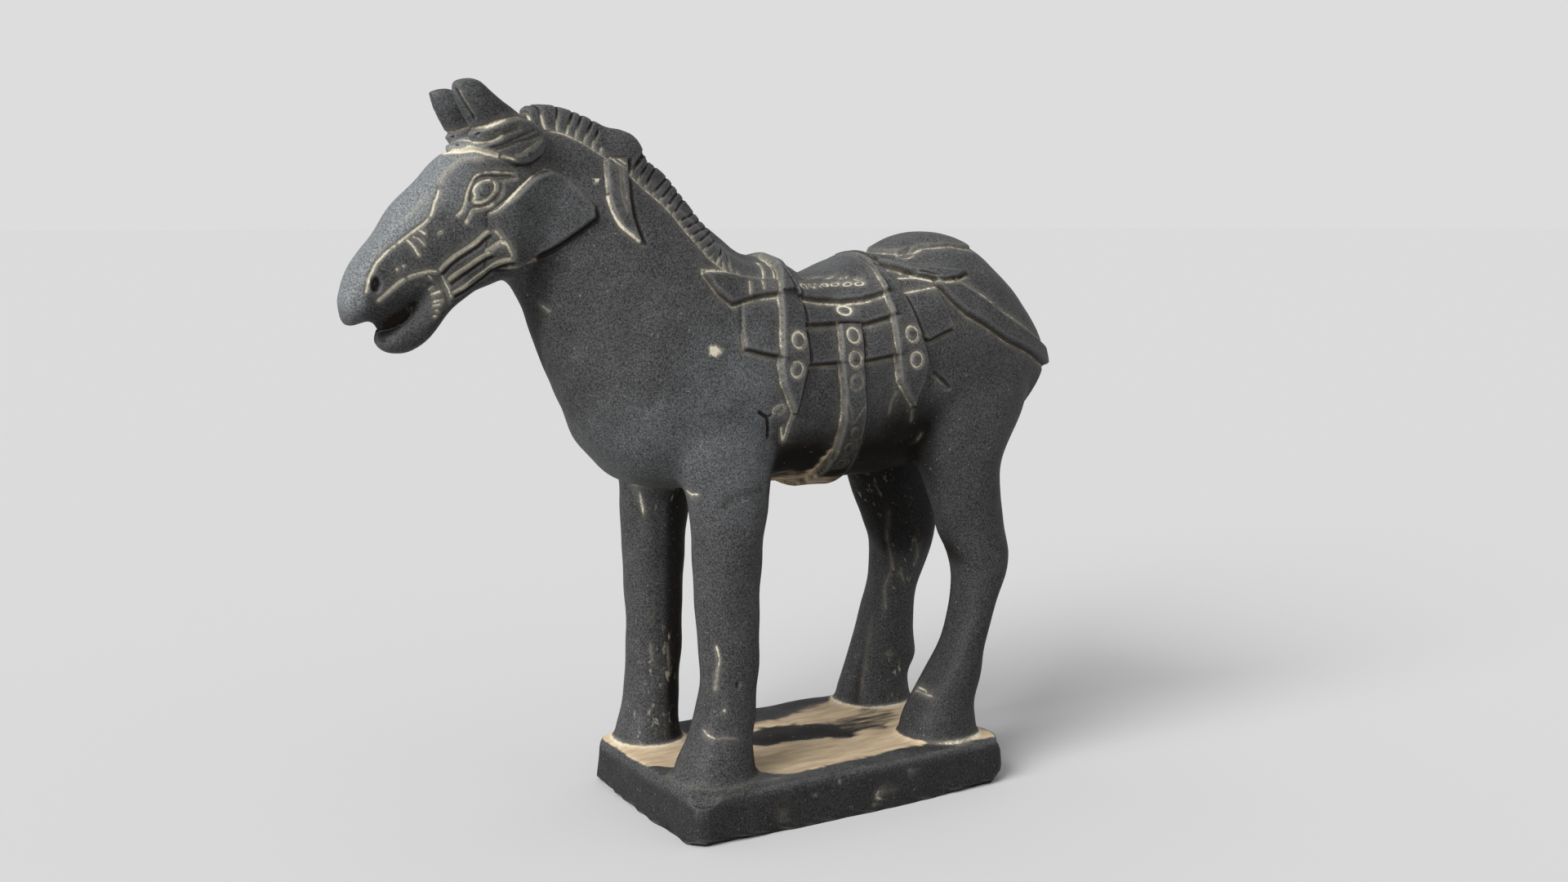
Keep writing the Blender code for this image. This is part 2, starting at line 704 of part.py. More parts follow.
def carve_mane(skin):
    """The cropped mane's foot line, and the notches across it."""
    gap, place = skin.along(MANE_FOOT)
    feet, heights = np.array(MANE_FOOT, dtype=float).T
    over_foot = skin.z - np.interp(skin.x, feet, heights)
    foot = LINE_DEPTH * eased(1 - gap / LINE_WIDTH)
    wave = abs((place / MANE_NOTCH_PITCH) % 1 - 0.5) * 2
    notch = MANE_NOTCH_DEPTH * eased(1 - wave * MANE_NOTCH_SHARPNESS)
    rear = KNOT_REAR + KNOT_LEAN * (skin.z - KNOT_FOOT)
    on_knot = (skin.x > KNOT_FRONT) & (skin.x < rear)
    reach = MANE_HALF_WIDTH + np.maximum(skin.x - MANE_SPREADS_FROM, 0)
    on_mane = (skin.x > feet[0]) & (skin.x < feet[-1]) & (skin.from_middle < reach)
    near = eased(over_foot) * (on_mane & ~on_knot)
    skin.cut = np.maximum(skin.cut, np.maximum(foot, notch * near))


def finished(mesh):
    """The carved skin, thinned out where it is smooth, and cut off flat underneath."""
    count = 2 * len(mesh.polygons)
    mesh = modified(mesh, "DECIMATE", ratio=TRIANGLES_KEPT / count)
    bm = bmesh.new()
    bm.from_mesh(mesh)
    bpy.data.meshes.remove(mesh)
    bmesh.ops.translate(bm, vec=(0, 0, PLINTH_HEIGHT), verts=bm.verts)
    everything = bm.verts[:] + bm.edges[:] + bm.faces[:]
    cut = bmesh.ops.bisect_plane(
        bm, geom=everything, plane_co=(0, 0, 0), plane_no=(0, 0, -1), clear_outer=True
    )
    rim = [item for item in cut["geom_cut"] if isinstance(item, bmesh.types.BMEdge)]
    bmesh.ops.contextual_create(bm, geom=rim)
    bmesh.ops.recalc_face_normals(bm, faces=bm.faces)
    return bm


def fired_clay():
    """The material of the whole piece."""
    material = bpy.data.materials.new("grey_fired_clay")
    material.use_nodes = True
    shader = material.node_tree.nodes["Principled BSDF"]
    shader.inputs["Base Color"].default_value = CLAY_COLOUR
    shader.inputs["Roughness"].default_value = CLAY_ROUGHNESS
    return material


def build():
    for old in list(bpy.data.objects):
        bpy.data.objects.remove(old)
    mesh = fused_clay()
    bm = bmesh.new()
    bm.from_mesh(mesh)
    skin = Skin(mesh, bm)
    carve_tack(skin)
    carve_head(skin)
    carve_mane(skin)
    for path in LINES:
        skin.cut_line(path, LINE_WIDTH, LINE_DEPTH)
    for path in FINE_LINES:
        skin.cut_line(path, FINE_LINE_WIDTH, LINE_DEPTH)
    skin.hollow(MOUTH, MOUTH_RADII, MOUTH_OPENING)
    mesh.vertices.foreach_set("co", skin.shaped().astype(np.float32).ravel())
    bm.free()
    bm = finished(mesh)
    mesh = bpy.data.meshes.new("terracotta_horse")
    bm.to_mesh(mesh)
    bm.free()
    mesh.shade_smooth()
    mesh.set_sharp_from_angle(angle=SHARP_ANGLE)
    mesh.materials.append(fired_clay())
    horse = bpy.data.objects.new("terracotta_horse", mesh)
    bpy.context.scene.collection.objects.link(horse)


build()
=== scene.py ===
# %% [markdown]
# # A smoke-fired clay horse on its plinth
# The real object is a small statue of fine clay. The horse and its plinth were pressed and modelled
# as one piece, tooled with a blunt point while the clay was leather hard, and fired in a smoky kiln
# until it was charcoal grey all through. It then lay in the ground, so pale dust sits in its lines.
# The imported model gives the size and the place, and everything below is in that same frame.

import math

import bmesh
import bpy
import numpy as np
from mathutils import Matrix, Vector


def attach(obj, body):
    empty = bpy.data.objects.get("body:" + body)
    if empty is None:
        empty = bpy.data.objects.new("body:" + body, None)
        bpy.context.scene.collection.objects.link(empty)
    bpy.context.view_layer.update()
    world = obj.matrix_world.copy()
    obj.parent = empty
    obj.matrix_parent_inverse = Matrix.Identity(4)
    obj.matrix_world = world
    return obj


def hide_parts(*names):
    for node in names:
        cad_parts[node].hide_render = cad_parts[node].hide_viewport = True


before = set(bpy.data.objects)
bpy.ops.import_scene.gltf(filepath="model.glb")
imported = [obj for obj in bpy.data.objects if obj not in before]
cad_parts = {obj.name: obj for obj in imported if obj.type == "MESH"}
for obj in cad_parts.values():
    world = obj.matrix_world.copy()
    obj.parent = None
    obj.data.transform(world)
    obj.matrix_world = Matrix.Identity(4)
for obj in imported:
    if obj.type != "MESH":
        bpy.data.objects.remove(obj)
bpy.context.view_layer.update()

# %% [markdown]
# ## The forms under the skin
# A modeller builds a figure from a few solid masses before any line is drawn. The same masses serve
# here. Each is a row of ovals, and an oval is given by its two ends in the side view, its half width
# and the distance of its middle from the centre plane. Lengths are in millimetres and heights are
# counted from the plinth's top. Ovals are quick to correct, which a sculpted mesh is not.

# %% The neck, the barrel and the rump
MM = 0.001
TRUNK = (
    (-117, 250, -129.8, 208.5, 10.5, 0, 2),
    (-108, 251, -128, 198.5, 12.5, 0, 2),
    (-97, 248, -121, 187, 15.5, 0, 2.1),
    (-84, 242, -114.8, 173, 19.5, 0, 2.1),
    (-71, 232, -108.5, 158, 24, 0, 2.2),
    (-58, 221, -101.5, 142, 30, 0, 2.2),
    (-45, 209, -92.5, 126.5, 35, 0, 2.3),
    (-31, 200, -78, 114, 38, 0, 2.3),
    (-17, 198, -48, 110, 39.5, 0, 2.3),
    (0, 190.5, -10, 110, 39, 0, 2.2),
    (20, 197, 18, 109, 38.5, 0, 2.2),
    (38, 201.6, 40, 110.5, 38, 0, 2.2),
    (54, 208, 60, 112, 37.5, 0, 2.2),
    (70, 207.5, 77, 114, 37, 0, 2.2),
    (83, 201, 90, 118, 35, 0, 2.2),
    (97, 188.5, 100, 128, 31, 0, 2.2),
    (110, 170.5, 109.5, 140, 24, 0, 2.2),
    (115, 158, 115, 150, 12, 0, 2),
)
print("ovals in the trunk:", len(TRUNK))

# %% The head, the open lower jaw and the ears
HEAD = (
    (-98, 246, -100, 214, 11, 0, 2),
    (-112, 249, -111, 203, 15, 0, 2),
    (-126, 250, -120, 193.5, 16, 0, 2.2),
    (-136.4, 244.6, -128, 192.5, 17.5, 0, 2.4),
    (-149.5, 236.2, -136, 189.5, 17, 0, 2.4),
    (-157.3, 228.4, -144.5, 189.5, 15, 0, 2.4),
    (-165.8, 219.9, -153.5, 190.5, 13, 0, 2.5),
    (-172.6, 210.4, -161.5, 187.2, 11.5, 0, 2.6),
    (-178.9, 203.2, -169.5, 183, 10.5, 0, 2.6),
    (-183.8, 195, -177.5, 179, 9.5, 0, 2.5),
    (-186.5, 187.5, -184.8, 176.7, 7.5, 0, 2.2),
)
LOWER_JAW = (
    (-148, 196, -139, 188.5, 12.5, 0, 2.2),
    (-156.5, 192, -147, 182.4, 11.5, 0, 2.3),
    (-160, 186, -151.7, 176.7, 10.5, 0, 2.3),
    (-163.8, 180.6, -156.7, 171.4, 10, 0, 2.3),
    (-168.5, 177.3, -163.6, 167.3, 9, 0, 2.3),
    (-172.2, 175.8, -169.6, 167.4, 7.8, 0, 2.2),
    (-174.6, 174.2, -173.6, 169.4, 5.5, 0, 2),
)
MOUTH_WALL = (
    (-156, 194, -151, 188, 4, 0, 3),
    (-162, 192, -157, 181, 3.2, 0, 3),
    (-167.5, 189, -164, 174, 3, 0, 3),
    (-171.5, 186, -170, 171, 2.8, 0, 3),
    (-173.3, 184, -174, 172, 2.2, 0, 3),
)
EAR = (
    (-134, 232, -106, 236, 6, 9, 2),
    (-140, 242, -111.5, 244, 6, 11, 2),
    (-144.5, 250, -121.5, 250.3, 6, 12.5, 2),
    (-148, 257, -131, 256.8, 5.5, 13, 2),
    (-149.3, 262.3, -139, 263.7, 3.5, 13, 2),
)
FAR_EAR = (
    (-134, 232, -106, 236, 6, 9, 2),
    (-140, 242, -112, 243, 6, 11, 2),
    (-144.3, 250, -123, 249.3, 6, 12.5, 2),
    (-147.3, 256, -131, 256, 5.5, 13, 2),
    (-148.5, 260.5, -139, 262, 3.5, 13, 2),
)
print("ovals in the head and the jaw:", len(HEAD) + len(LOWER_JAW))

# %% The cropped mane, its knot and the short tail
MANE = (
    (-121, 250.3, -114, 236, 4, 0, 3),
    (-117, 255.7, -110, 240, 5, 0, 3),
    (-108, 256.5, -104, 240, 5.5, 0, 3),
    (-97, 254, -98, 236, 6, 0, 3),
    (-86, 249.5, -90, 232, 6, 0, 3),
    (-76.5, 242.5, -84, 226, 6, 0, 3),
    (-64.5, 234.8, -72, 217, 6, 0, 3),
    (-55.5, 226.6, -64, 208, 6, 0, 3),
    (-42.5, 212.6, -51, 194, 6, 0, 3),
    (-30, 202.5, -38, 185, 6.5, 0, 3),
    (-20, 200, -24, 180, 8, 0, 2.5),
)
KNOT = (
    (-88, 247, -84, 233, 7, 0, 3),
    (-82, 248.5, -78, 231, 10, 0, 3),
    (-75, 246, -71.8, 229, 10, 0, 3),
    (-71.2, 240, -69.2, 231.5, 8.5, 0, 3),
)
TAIL = (
    (96, 190, 96, 172, 6, 0, 2),
    (112, 182, 104, 170, 7, 0, 2),
    (117.8, 168, 108, 164, 7.5, 0, 2),
    (118.2, 155, 106, 150, 7.5, 0, 2),
    (116, 143, 103, 140, 6.5, 0, 2),
    (109, 133, 99, 134, 4, 0, 2),
)
print("ovals in the mane:", len(MANE))

# %% The legs: the far pair stands a little behind the near pair
FRONT_LEG = (
    (-70, 158, -28, 158, 10, 20, 2),
    (-70.5, 140, -27, 140, 13, 23.5, 2),
    (-68, 124, -28.5, 124, 14.5, 25.5, 2),
    (-63.5, 108, -31.5, 108, 14, 27, 2),
    (-62.3, 90, -34.5, 90, 13, 28, 2.2),
    (-61.3, 68, -35.8, 68, 11.5, 28, 2.2),
    (-60, 45, -36.2, 45, 11, 28, 2.2),
    (-60.5, 30, -38, 30, 11.5, 28, 2.2),
    (-65, 16, -39, 14, 13, 28, 2.2),
    (-70, 4, -39, 4, 15, 28, 2.2),
    (-71, -6, -38, -6, 15.5, 28, 2.2),
)
FAR_FRONT_LEG = (
    (-72, 158, -30, 158, 10, 20, 2),
    (-72.2, 140, -28.2, 140, 13, 24, 2),
    (-69.9, 124, -29.9, 124, 14.5, 26.5, 2),
    (-65.9, 108, -34.4, 108, 14, 28.5, 2),
    (-64.9, 90, -37.4, 90, 13, 29.5, 2.2),
    (-64, 68, -39.2, 68, 11.5, 29.5, 2.2),
    (-63, 45, -40, 45, 11, 29.5, 2.2),
    (-63.5, 30, -41, 30, 11.5, 29.5, 2.2),
    (-65, 16, -42, 14, 12, 29.5, 2.2),
    (-68, 4, -42, 4, 13.5, 29, 2.2),
    (-69, -6, -41, -6, 14, 29, 2.2),
)
HIND_LEG = (
    (40, 180, 98, 172, 11, 15, 2),
    (36, 158, 102.5, 158, 14, 19.5, 2),
    (38, 142, 101.5, 146, 15.5, 22, 2),
    (42, 120, 92, 128, 15, 24, 2),
    (48.3, 104, 82, 112, 13.5, 26, 2),
    (54.5, 84, 84.3, 90, 12, 27, 2),
    (61, 70, 85.3, 72, 12, 28, 2.2),
    (61.3, 56, 79.5, 56, 11, 28, 2.2),
    (57.2, 40, 74.4, 40, 11, 28, 2.2),
    (49.5, 27, 72, 27, 12, 28, 2.2),
    (41, 16, 68.5, 14, 13, 28, 2.2),
    (37, 5, 68, 4, 15, 28, 2.2),
    (36, -6, 69, -6, 15.5, 28, 2.2),
)
FAR_HIND_LEG = (
    (40, 180, 98, 172, 11, 15, 2),
    (35, 158, 102, 158, 14, 19.5, 2),
    (36, 142, 101, 146, 15.5, 22, 2),
    (37.5, 120, 94, 128, 15, 24, 2),
    (43, 104, 87, 112, 14, 26, 2),
    (51.8, 84, 88.6, 90, 13, 27, 2),
    (57.5, 70, 87.2, 72, 13, 28, 2.2),
    (57.5, 56, 80, 56, 12, 28, 2.2),
    (53.3, 40, 76.3, 40, 12, 28, 2.2),
    (49.3, 28, 77, 28, 13, 28, 2.2),
    (46.7, 21, 77.8, 20, 13, 28, 2.2),
    (44.2, 15, 73.6, 13, 13, 28, 2.2),
    (41, 5, 73.6, 4, 15, 28, 2.2),
    (40, -6, 75, -6, 15.5, 28, 2.2),
)
print("ovals in a front leg:", len(FRONT_LEG), "and in a hind leg:", len(HIND_LEG))

# %% [markdown]
# ## Skinning the forms
# Bridging one oval to the next gives a closed solid for each mass. A smooth curve runs through the
# stations, so that a few of them are enough and no facet shows between them.

# %% Fill in between the stations
STEPS_BETWEEN_STATIONS = 4
RING_POINTS = 48


def blended(before, start, end, after, share):
    """A smooth curve from start to end that also heeds the value on each side of them."""
    slope_in, slope_out = (end - before) / 2, (after - start) / 2
    cube = 2 * (start - end) + slope_in + slope_out
    square = 3 * (end - start) - 2 * slope_in - slope_out
    return ((cube * share + square) * share + slope_in) * share + start


def filled_in(stations, steps=STEPS_BETWEEN_STATIONS):
    """The stations with as many steps between each two, on a smooth curve."""
    last = len(stations) - 1
    rows = []
    for i in range(last):
        around = [stations[max(0, min(last, i + step))] for step in (-1, 0, 1, 2)]
        for step in range(steps):
            rows.append([blended(*values, step / steps) for values in zip(*around)])
    return rows + [list(stations[-1])]


print("the trunk's", len(TRUNK), "stations become", len(filled_in(TRUNK)), "ovals")

# %% One oval, and a form over a row of them


def oval(bm, row, side):
    """One closed ring; its power is 2 for an ellipse and more for a squarer oval."""
    x1, z1, x2, z2, half_width, middle, power = row
    made = bmesh.ops.create_circle(bm, radius=1.0, segments=RING_POINTS)
    start, end = Vector((x1, 0, z1)), Vector((x2, 0, z2))
    for vert in made["verts"]:
        along = math.copysign(abs(vert.co.x) ** (2 / power), vert.co.x)
        across = math.copysign(abs(vert.co.y) ** (2 / power), vert.co.y)
        place = (start + end) / 2 + (start - end) / 2 * along
        place.y = side * (middle + half_width * across)
        vert.co = place * MM
    return list({edge for vert in made["verts"] for edge in vert.link_edges})


def form(bm, stations, side=1):
    """A closed solid over the ovals, with any distance from the middle counted to that side."""
    rings = [oval(bm, row, side) for row in filled_in(stations)]
    for ring, following in zip(rings, rings[1:]):
        bmesh.ops.bridge_loops(bm, edges=ring + following)
    bmesh.ops.contextual_create(bm, geom=rings[0])
    bmesh.ops.contextual_create(bm, geom=rings[-1])


clay = bmesh.new()
for stations in (TRUNK, HEAD, LOWER_JAW, MOUTH_WALL, MANE, KNOT, TAIL):
    form(clay, stations)
for stations in (EAR, FRONT_LEG, HIND_LEG):
    form(clay, stations, side=-1)
for stations in (FAR_EAR, FAR_FRONT_LEG, FAR_HIND_LEG):
    form(clay, stations)
print("the horse's forms have", len(clay.faces), "faces")

# %% [markdown]
# ## The plinth
# The block under the hooves is a slab with rounded corners that leans in a little towards the top,
# as clay does when it leaves a mould. A cube with its upright edges bevelled gives just that. It goes
# deeper than the real one, and its underside is cut off flat at the end.

# %% A cube made into the plinth
PLINTH_HIGH = 18.5
PLINTH_LOW = (-75.2, -50.5)
PLINTH_FAR = (75.8, 46.5)
PLINTH_CORNER, PLINTH_NEAR_CORNER = 11, 6
PLINTH_LEAN = 1.5
CUT_BELOW = 4

slab = bmesh.ops.create_cube(clay, size=1.0)["verts"]
for vert in slab:
    at_top = vert.co.z > 0
    lean = PLINTH_LEAN if at_top else 0
    x = PLINTH_FAR[0] - lean if vert.co.x > 0 else PLINTH_LOW[0] + lean
    y = PLINTH_FAR[1] - lean if vert.co.y > 0 else PLINTH_LOW[1] + lean
    vert.co = Vector((x, y, 0 if at_top else -PLINTH_HIGH - CUT_BELOW)) * MM
slab_edges = {edge for vert in slab for edge in vert.link_edges}
upright = [edge for edge in slab_edges if abs(edge.verts[0].co.z - edge.verts[1].co.z) > CUT_BELOW * MM]
nearest = [edge for edge in upright if max(edge.verts[0].co.x, edge.verts[0].co.y) < 0]
others = [edge for edge in upright if edge not in nearest]
for corners, radius in ((nearest, PLINTH_NEAR_CORNER), (others, PLINTH_CORNER)):
    bmesh.ops.bevel(
        clay, geom=corners, offset=radius * MM, affect="EDGES", segments=8, profile=0.5, material=-1
    )
bmesh.ops.recalc_face_normals(clay, faces=clay.faces)
print("plinth", PLINTH_FAR[0] - PLINTH_LOW[0], "by", PLINTH_FAR[1] - PLINTH_LOW[1], "mm")

# %% [markdown]
# ## One skin of clay
# A potter thumbs fresh clay over each joint until no seam is left. A voxel remesh does the same: it
# keeps only the outermost surface, and the smoothing after it fills the joints. The first pass is
# coarse and rounds the joints. The second is fine enough to hold a tooled line.

# %% Remesh and smooth twice
JOINT_GRAIN, JOINT_ROUNDS = 2.0, 6
FINE_GRAIN, FINE_ROUNDS = 0.5, 24


def modified(mesh, kind, only=None, **settings):
    """A copy of the mesh as one modifier leaves it, acting on all its points or only on some."""
    holder = bpy.data.objects.new(kind, mesh)
    bpy.context.scene.collection.objects.link(holder)
    modifier = holder.modifiers.new(kind, kind)
    for setting, value in settings.items():
        setattr(modifier, setting, value)
    if only is not None:
        holder.vertex_groups.new(name="acted on").add(only, 1.0, "REPLACE")
        modifier.vertex_group = "acted on"
    result = bpy.data.meshes.new_from_object(holder.evaluated_get(bpy.context.evaluated_depsgraph_get()))
    bpy.data.objects.remove(holder)
    bpy.data.meshes.remove(mesh)
    return result


skin = bpy.data.meshes.new("joined clay")
clay.to_mesh(skin)
clay.free()
for grain, rounds in ((JOINT_GRAIN, JOINT_ROUNDS), (FINE_GRAIN, FINE_ROUNDS)):
    skin = modified(skin, "REMESH", mode="VOXEL", voxel_size=grain * MM)
    skin = modified(skin, "SMOOTH", factor=0.5, iterations=rounds)
print("the fine skin has", len(skin.vertices), "points")

# %% [markdown]
# ## Tools for carving
# Saddle, straps and lines are low relief, so they are carved by moving the skin's points in and out
# along their normals. The tools work in the side view, where the drawing is made, and each drawn
# point is laid on the flank by a ray. Each tool also notes where dust would settle. That note goes to
# the material later, so the pale lines follow the carving by themselves.

# %% The skin and what is noted about each of its points
FAR_SIDE_DUST = 0.7
OUTSIDE = 300
MASKS = ("cream", "soil", "slate", "crust", "soot", "worn")


def eased(value):
    """0 up to 1, with no corner at either end."""
    value = np.clip(value, 0, 1)
    return value * value * (3 - 2 * value)


class Carving:
    """The skin's points in millimetres, how far each is raised and cut, and its masks."""

    def __init__(self, mesh):
        self.holder = bpy.data.objects.new("uncarved clay", mesh)
        bpy.context.scene.collection.objects.link(self.holder)
        bpy.context.view_layer.update()
        self.points = self.read(mesh, "co") / MM
        self.normals = self.read(mesh, "normal")
        self.x, y, self.z = self.points.T
        self.from_middle = abs(y)
        self.mirrored = np.stack([self.x, -self.from_middle, self.z], axis=1)
        self.side = np.where(y > 0, FAR_SIDE_DUST, 1.0)
        for what in ("raised", "cut", *MASKS):
            setattr(self, what, np.zeros(len(self.x)))

    def read(self, mesh, what):
        """A vector of each point of the mesh, one in a row."""
        values = np.empty(3 * len(mesh.vertices), np.float32)
        mesh.vertices.foreach_get(what, values)
        return values.reshape(-1, 3).astype(float)

    def on_flank(self, x, z):
        """The point of the left flank at x and z in the side view, and the way it faces."""
        origin = Vector((x, -OUTSIDE, z)) * MM
        hit, place, facing, _ = self.holder.ray_cast(origin, Vector((0, 1, 0)))
        if hit:
            return np.array(place) / MM, np.array(facing)
        return np.array((x, 0, z), dtype=float), np.array((0.0, -1.0, 0.0))

    def close_to(self, spots, reach):
        """The numbers of the points that are within reach of the spots' box in the side view."""
        low, high = spots.min(0) - reach, spots.max(0) + reach
        return np.flatnonzero(
            (self.x > low[0]) & (self.x < high[0]) & (self.z > low[2]) & (self.z < high[2])
        )

    def most(self, what, near, value):
        """Keeps the larger of the noted value and the new one."""
        values = getattr(self, what)
        values[near] = np.maximum(values[near], value)


carving = Carving(skin)
print("highest point", round(carving.z.max(), 1), "mm over the plinth")

# %% [markdown]
# A patch is a flat piece of tack, such as a strap, a flap or the seat. It is given by its two long
# edges, runs along the horse or hangs down, and may have a thicker lip at its lower edge. A patch laid
# over another stands on top of it, hides the dust beneath it and gathers its own along its edges.
# Along an edge that is given a dark share, a line of painted shadow lies just outside the step.

# %% Raise a patch of tack
TOOL_EDGE = 0.85
OVERLAP_STANDS = 1.0
LIP_REACH = 7
SEAM_DEPTH = 0.5
EDGE_DUST_OFF, EDGE_DUST_WIDE = 0.3, 0.9
HAZE_SHARE, HAZE_WIDE = 0.3, 2.6
SHADOW_WIDE, SHADOW_FILLS, SHADOW_OFF, SHADOW_MOVES_DUST = 0.75, 1.2, 0.2, 0.9
CLEAN_WITHIN = 0.4
MARGIN = 2
NONE = (0, 0, 0, 0)


def edge_distances(outline, run, across):
    """How far inside a patch each place is, from its start, its end, its low and its high edge."""
    where, low, high = outline
    below = across - np.interp(run, where, low)
    above = np.interp(run, where, high) - across
    return np.stack([run - where[0], where[-1] - run, below, above])


def patch(stations, stands, hanging=False, lip=0.0, soft=(1, 1, 1, 1), cream=NONE, soil=NONE, dark=NONE):
    """Raises what lies inside; soft, cream, soil and dark are for its start, end, low and high edge; dark is
    painted shadow.
    """
    run, across = (carving.z, carving.x) if hanging else (carving.x, carving.z)
    where, low, high = np.array(stations, dtype=float).T
    edges = edge_distances((where[[0, -1]], [low.min()] * 2, [high.max()] * 2), run, across)
    near = np.flatnonzero(edges.min(0) > -MARGIN)
    edges = edge_distances((where, low, high), run[near], across[near])
    inside = edges.min(0)
    ramp = (edges / np.array(soft)[:, None]).min(0)
    before = carving.raised[near]
    goal = np.maximum(stands + lip * eased(1 - edges[2] / LIP_REACH), before + OVERLAP_STANDS)
    carving.raised[near] = before + (goal - before) * eased(ramp / TOOL_EDGE)
    for what in (carving.cream, carving.soil, carving.cut):
        what[near] *= 1 - eased(inside / CLEAN_WITHIN)
    for number, (pale, brown, black) in enumerate(zip(cream, soil, dark)):
        others = np.delete(edges, number, axis=0).min(0)
        # A dark share paints a line of shadow along that step and pushes the dust out beyond it.
        shadow = eased(SHADOW_FILLS - abs(edges[number] + SHADOW_OFF) / SHADOW_WIDE) * eased(others + 1)
        carving.most("soot", near, black * shadow)
        off = abs(edges[number] + EDGE_DUST_OFF + SHADOW_MOVES_DUST * black)
        beside = eased(1 - off / EDGE_DUST_WIDE) * eased(others + 1)
        haze = HAZE_SHARE * eased(1 - off / HAZE_WIDE) * eased(others + 1)
        carving.most("cut", near, SEAM_DEPTH * beside)
        carving.most("cream", near, pale * np.maximum(beside, haze) * carving.side[near])
        carving.most("soil", near, brown * beside * carving.side[near])


print("tack laid over tack stands", OVERLAP_STANDS, "mm over it")

# %% [markdown]
# A line is a groove drawn with a blunt point: deepest in the middle, tapering where the point was set
# down and lifted. A ring is the same groove drawn round a small disc, in the plane of the skin there.

# %% Cut a line, and cut a ring
LINE_WIDE, LINE_DEEP = 0.9, 0.75
TAPER_LONG, TAPER_LEAST = 1.6, 0.25
DUST_FILLS, DUST_IN_LINE, DUST_IN_RING = 1.15, 0.75, 0.8
SHADE_FILLS = 1.3
SPECK_SOFT = 0.6
RING_REACHES, RING_MARGIN = 1.6, 3
DOME_SHARPNESS = 2.5


def distance_along(spots, places):
    """How far each place is from the path through the spots, and how far along it."""
    nearest, place, walked = np.full(len(places), np.inf), np.zeros(len(places)), 0.0
    for start, end in zip(spots, spots[1:]):
        step = end - start
        length = np.linalg.norm(step)
        share = np.clip((places - start) @ step / length**2, 0, 1)
        gap = np.linalg.norm(places - start - share[:, None] * step, axis=1)
        place = np.where(gap < nearest, walked + share * length, place)
        nearest = np.minimum(nearest, gap)
        walked += length
    return nearest, place, walked


def dust_beside(gap, wide, share):
    """The dust so far from the middle of a groove: full in that share of it, and a haze around it."""
    haze = HAZE_SHARE * eased(1 - gap / (wide + HAZE_WIDE / 2))
    return np.maximum(eased(DUST_FILLS - gap / (share * wide)), haze)


def groove(spots, wide=LINE_WIDE, deep=LINE_DEEP, cream=0.9, soil=0.0, soot=0.0, both=True):
    """A line on both flanks, or with both=False at the spots alone."""
    spots = np.array(spots, dtype=float)
    near = carving.close_to(spots, 2 * wide + HAZE_WIDE)
    places = carving.mirrored if both else carving.points
    gap, place, length = distance_along(spots, places[near])
    taper = eased(TAPER_LEAST + np.minimum(place, length - place) / TAPER_LONG)
    carving.most("cut", near, deep * taper * eased(1 - gap / wide))
    dusty = taper * dust_beside(gap, wide, DUST_IN_LINE) * carving.side[near]
    carving.most("cream", near, cream * dusty)
    carving.most("soil", near, soil * dusty)
    # The last share darkens the groove and a band round it: painted shade in the groove.
    carving.most("soot", near, soot * taper * eased(SHADE_FILLS - gap / wide))


def line(path, **how):
    """A groove along a path that is drawn in the side view and laid on the flank."""
    groove([carving.on_flank(x, z)[0] for x, z in filled_in(path)], **how)


def strokes(marks, strength=1.0, **how):
    """A line for each mark, which is its share of dust and then its points."""
    for dusty, *path in marks:
        line(path, cream=strength * dusty, **how)


def spot(place, size, cream):
    """A round speck of dust."""
    place = np.array(place, dtype=float)
    near = carving.close_to(place[None], 2 * size + 1)
    away = np.linalg.norm(carving.points[near] - place, axis=1)
    carving.most("cream", near, cream * eased((size - away) / SPECK_SOFT + 0.5))


def ring(centre, long, high, wide=0.7, deep=0.55, cream=0.8, dome=0.0):
    """An oval groove in the plane of the skin, with its half length, its half height and its dome."""
    middle, facing = carving.on_flank(*centre)
    along = np.array((1.0, 0, 0)) - facing[0] * facing
    along /= np.linalg.norm(along)
    upward = np.cross(along, facing)
    upward *= math.copysign(1, upward[2])
    near = carving.close_to(middle[None], max(long, high) + RING_MARGIN)
    reach = RING_REACHES * max(long, high) + MARGIN
    near = near[np.linalg.norm(carving.mirrored[near] - middle, axis=1) < reach]
    away = carving.mirrored[near] - middle
    out = np.hypot(away @ along / long, away @ upward / high)
    gap = abs(out - 1) * min(long, high)
    carving.most("cut", near, deep * eased(1 - gap / wide))
    carving.raised[near] += dome * eased((1 - out) * DOME_SHARPNESS)
    carving.most("cream", near, cream * dust_beside(gap, wide, DUST_IN_RING) * carving.side[near])


print("a line is", LINE_DEEP, "mm deep")

# %% [markdown]
# ## The saddle and its straps
# The tack is shown as the modeller pressed it: shallow cloth panels first, then the skirt, the seat
# and the long flap that points forward, and last the straps that hold it all. Each later piece lies
# on the earlier ones, so they are carved in that order. Dust is palest on the left of each strap.

# %% The panels, the skirt and the seat
OVER_THE_BACK = 230
PANEL_STANDS, PANEL_LIP = 0.9, 0.9
SKIRT_STANDS, SEAT_STANDS = 1.7, 2.2
SEAT = (
    (-20, 184.2, OVER_THE_BACK),
    (-10, 182.4, OVER_THE_BACK),
    (3, 181.3, OVER_THE_BACK),
    (12, 182.3, OVER_THE_BACK),
    (25, 185.5, OVER_THE_BACK),
)
SKIRT = ((-20, 174.3, 190), (-11.5, 174, 190), (10, 173.6, 190), (25, 176.8, 190))
LOWER_PANEL = ((-20, 159.5, 180), (9, 160, 180), (25, 162, 180))
FRONT_PANEL = ((-46.5, 166.5, 172), (-44, 166, 186), (-38, 164.5, 187), (-26, 162, 187))
SADDLE_TAB = (
    (-59, 194.5, 196),
    (-54.5, 187.5, 195.5),
    (-49, 183, 195),
    (-38.5, 185, 193),
    (-20, 186, 190),
)
REAR_PANEL = ((30, 170, 185), (38.5, 166.5, 186), (46.5, 169.5, 187), (51.5, 171, 172.5))
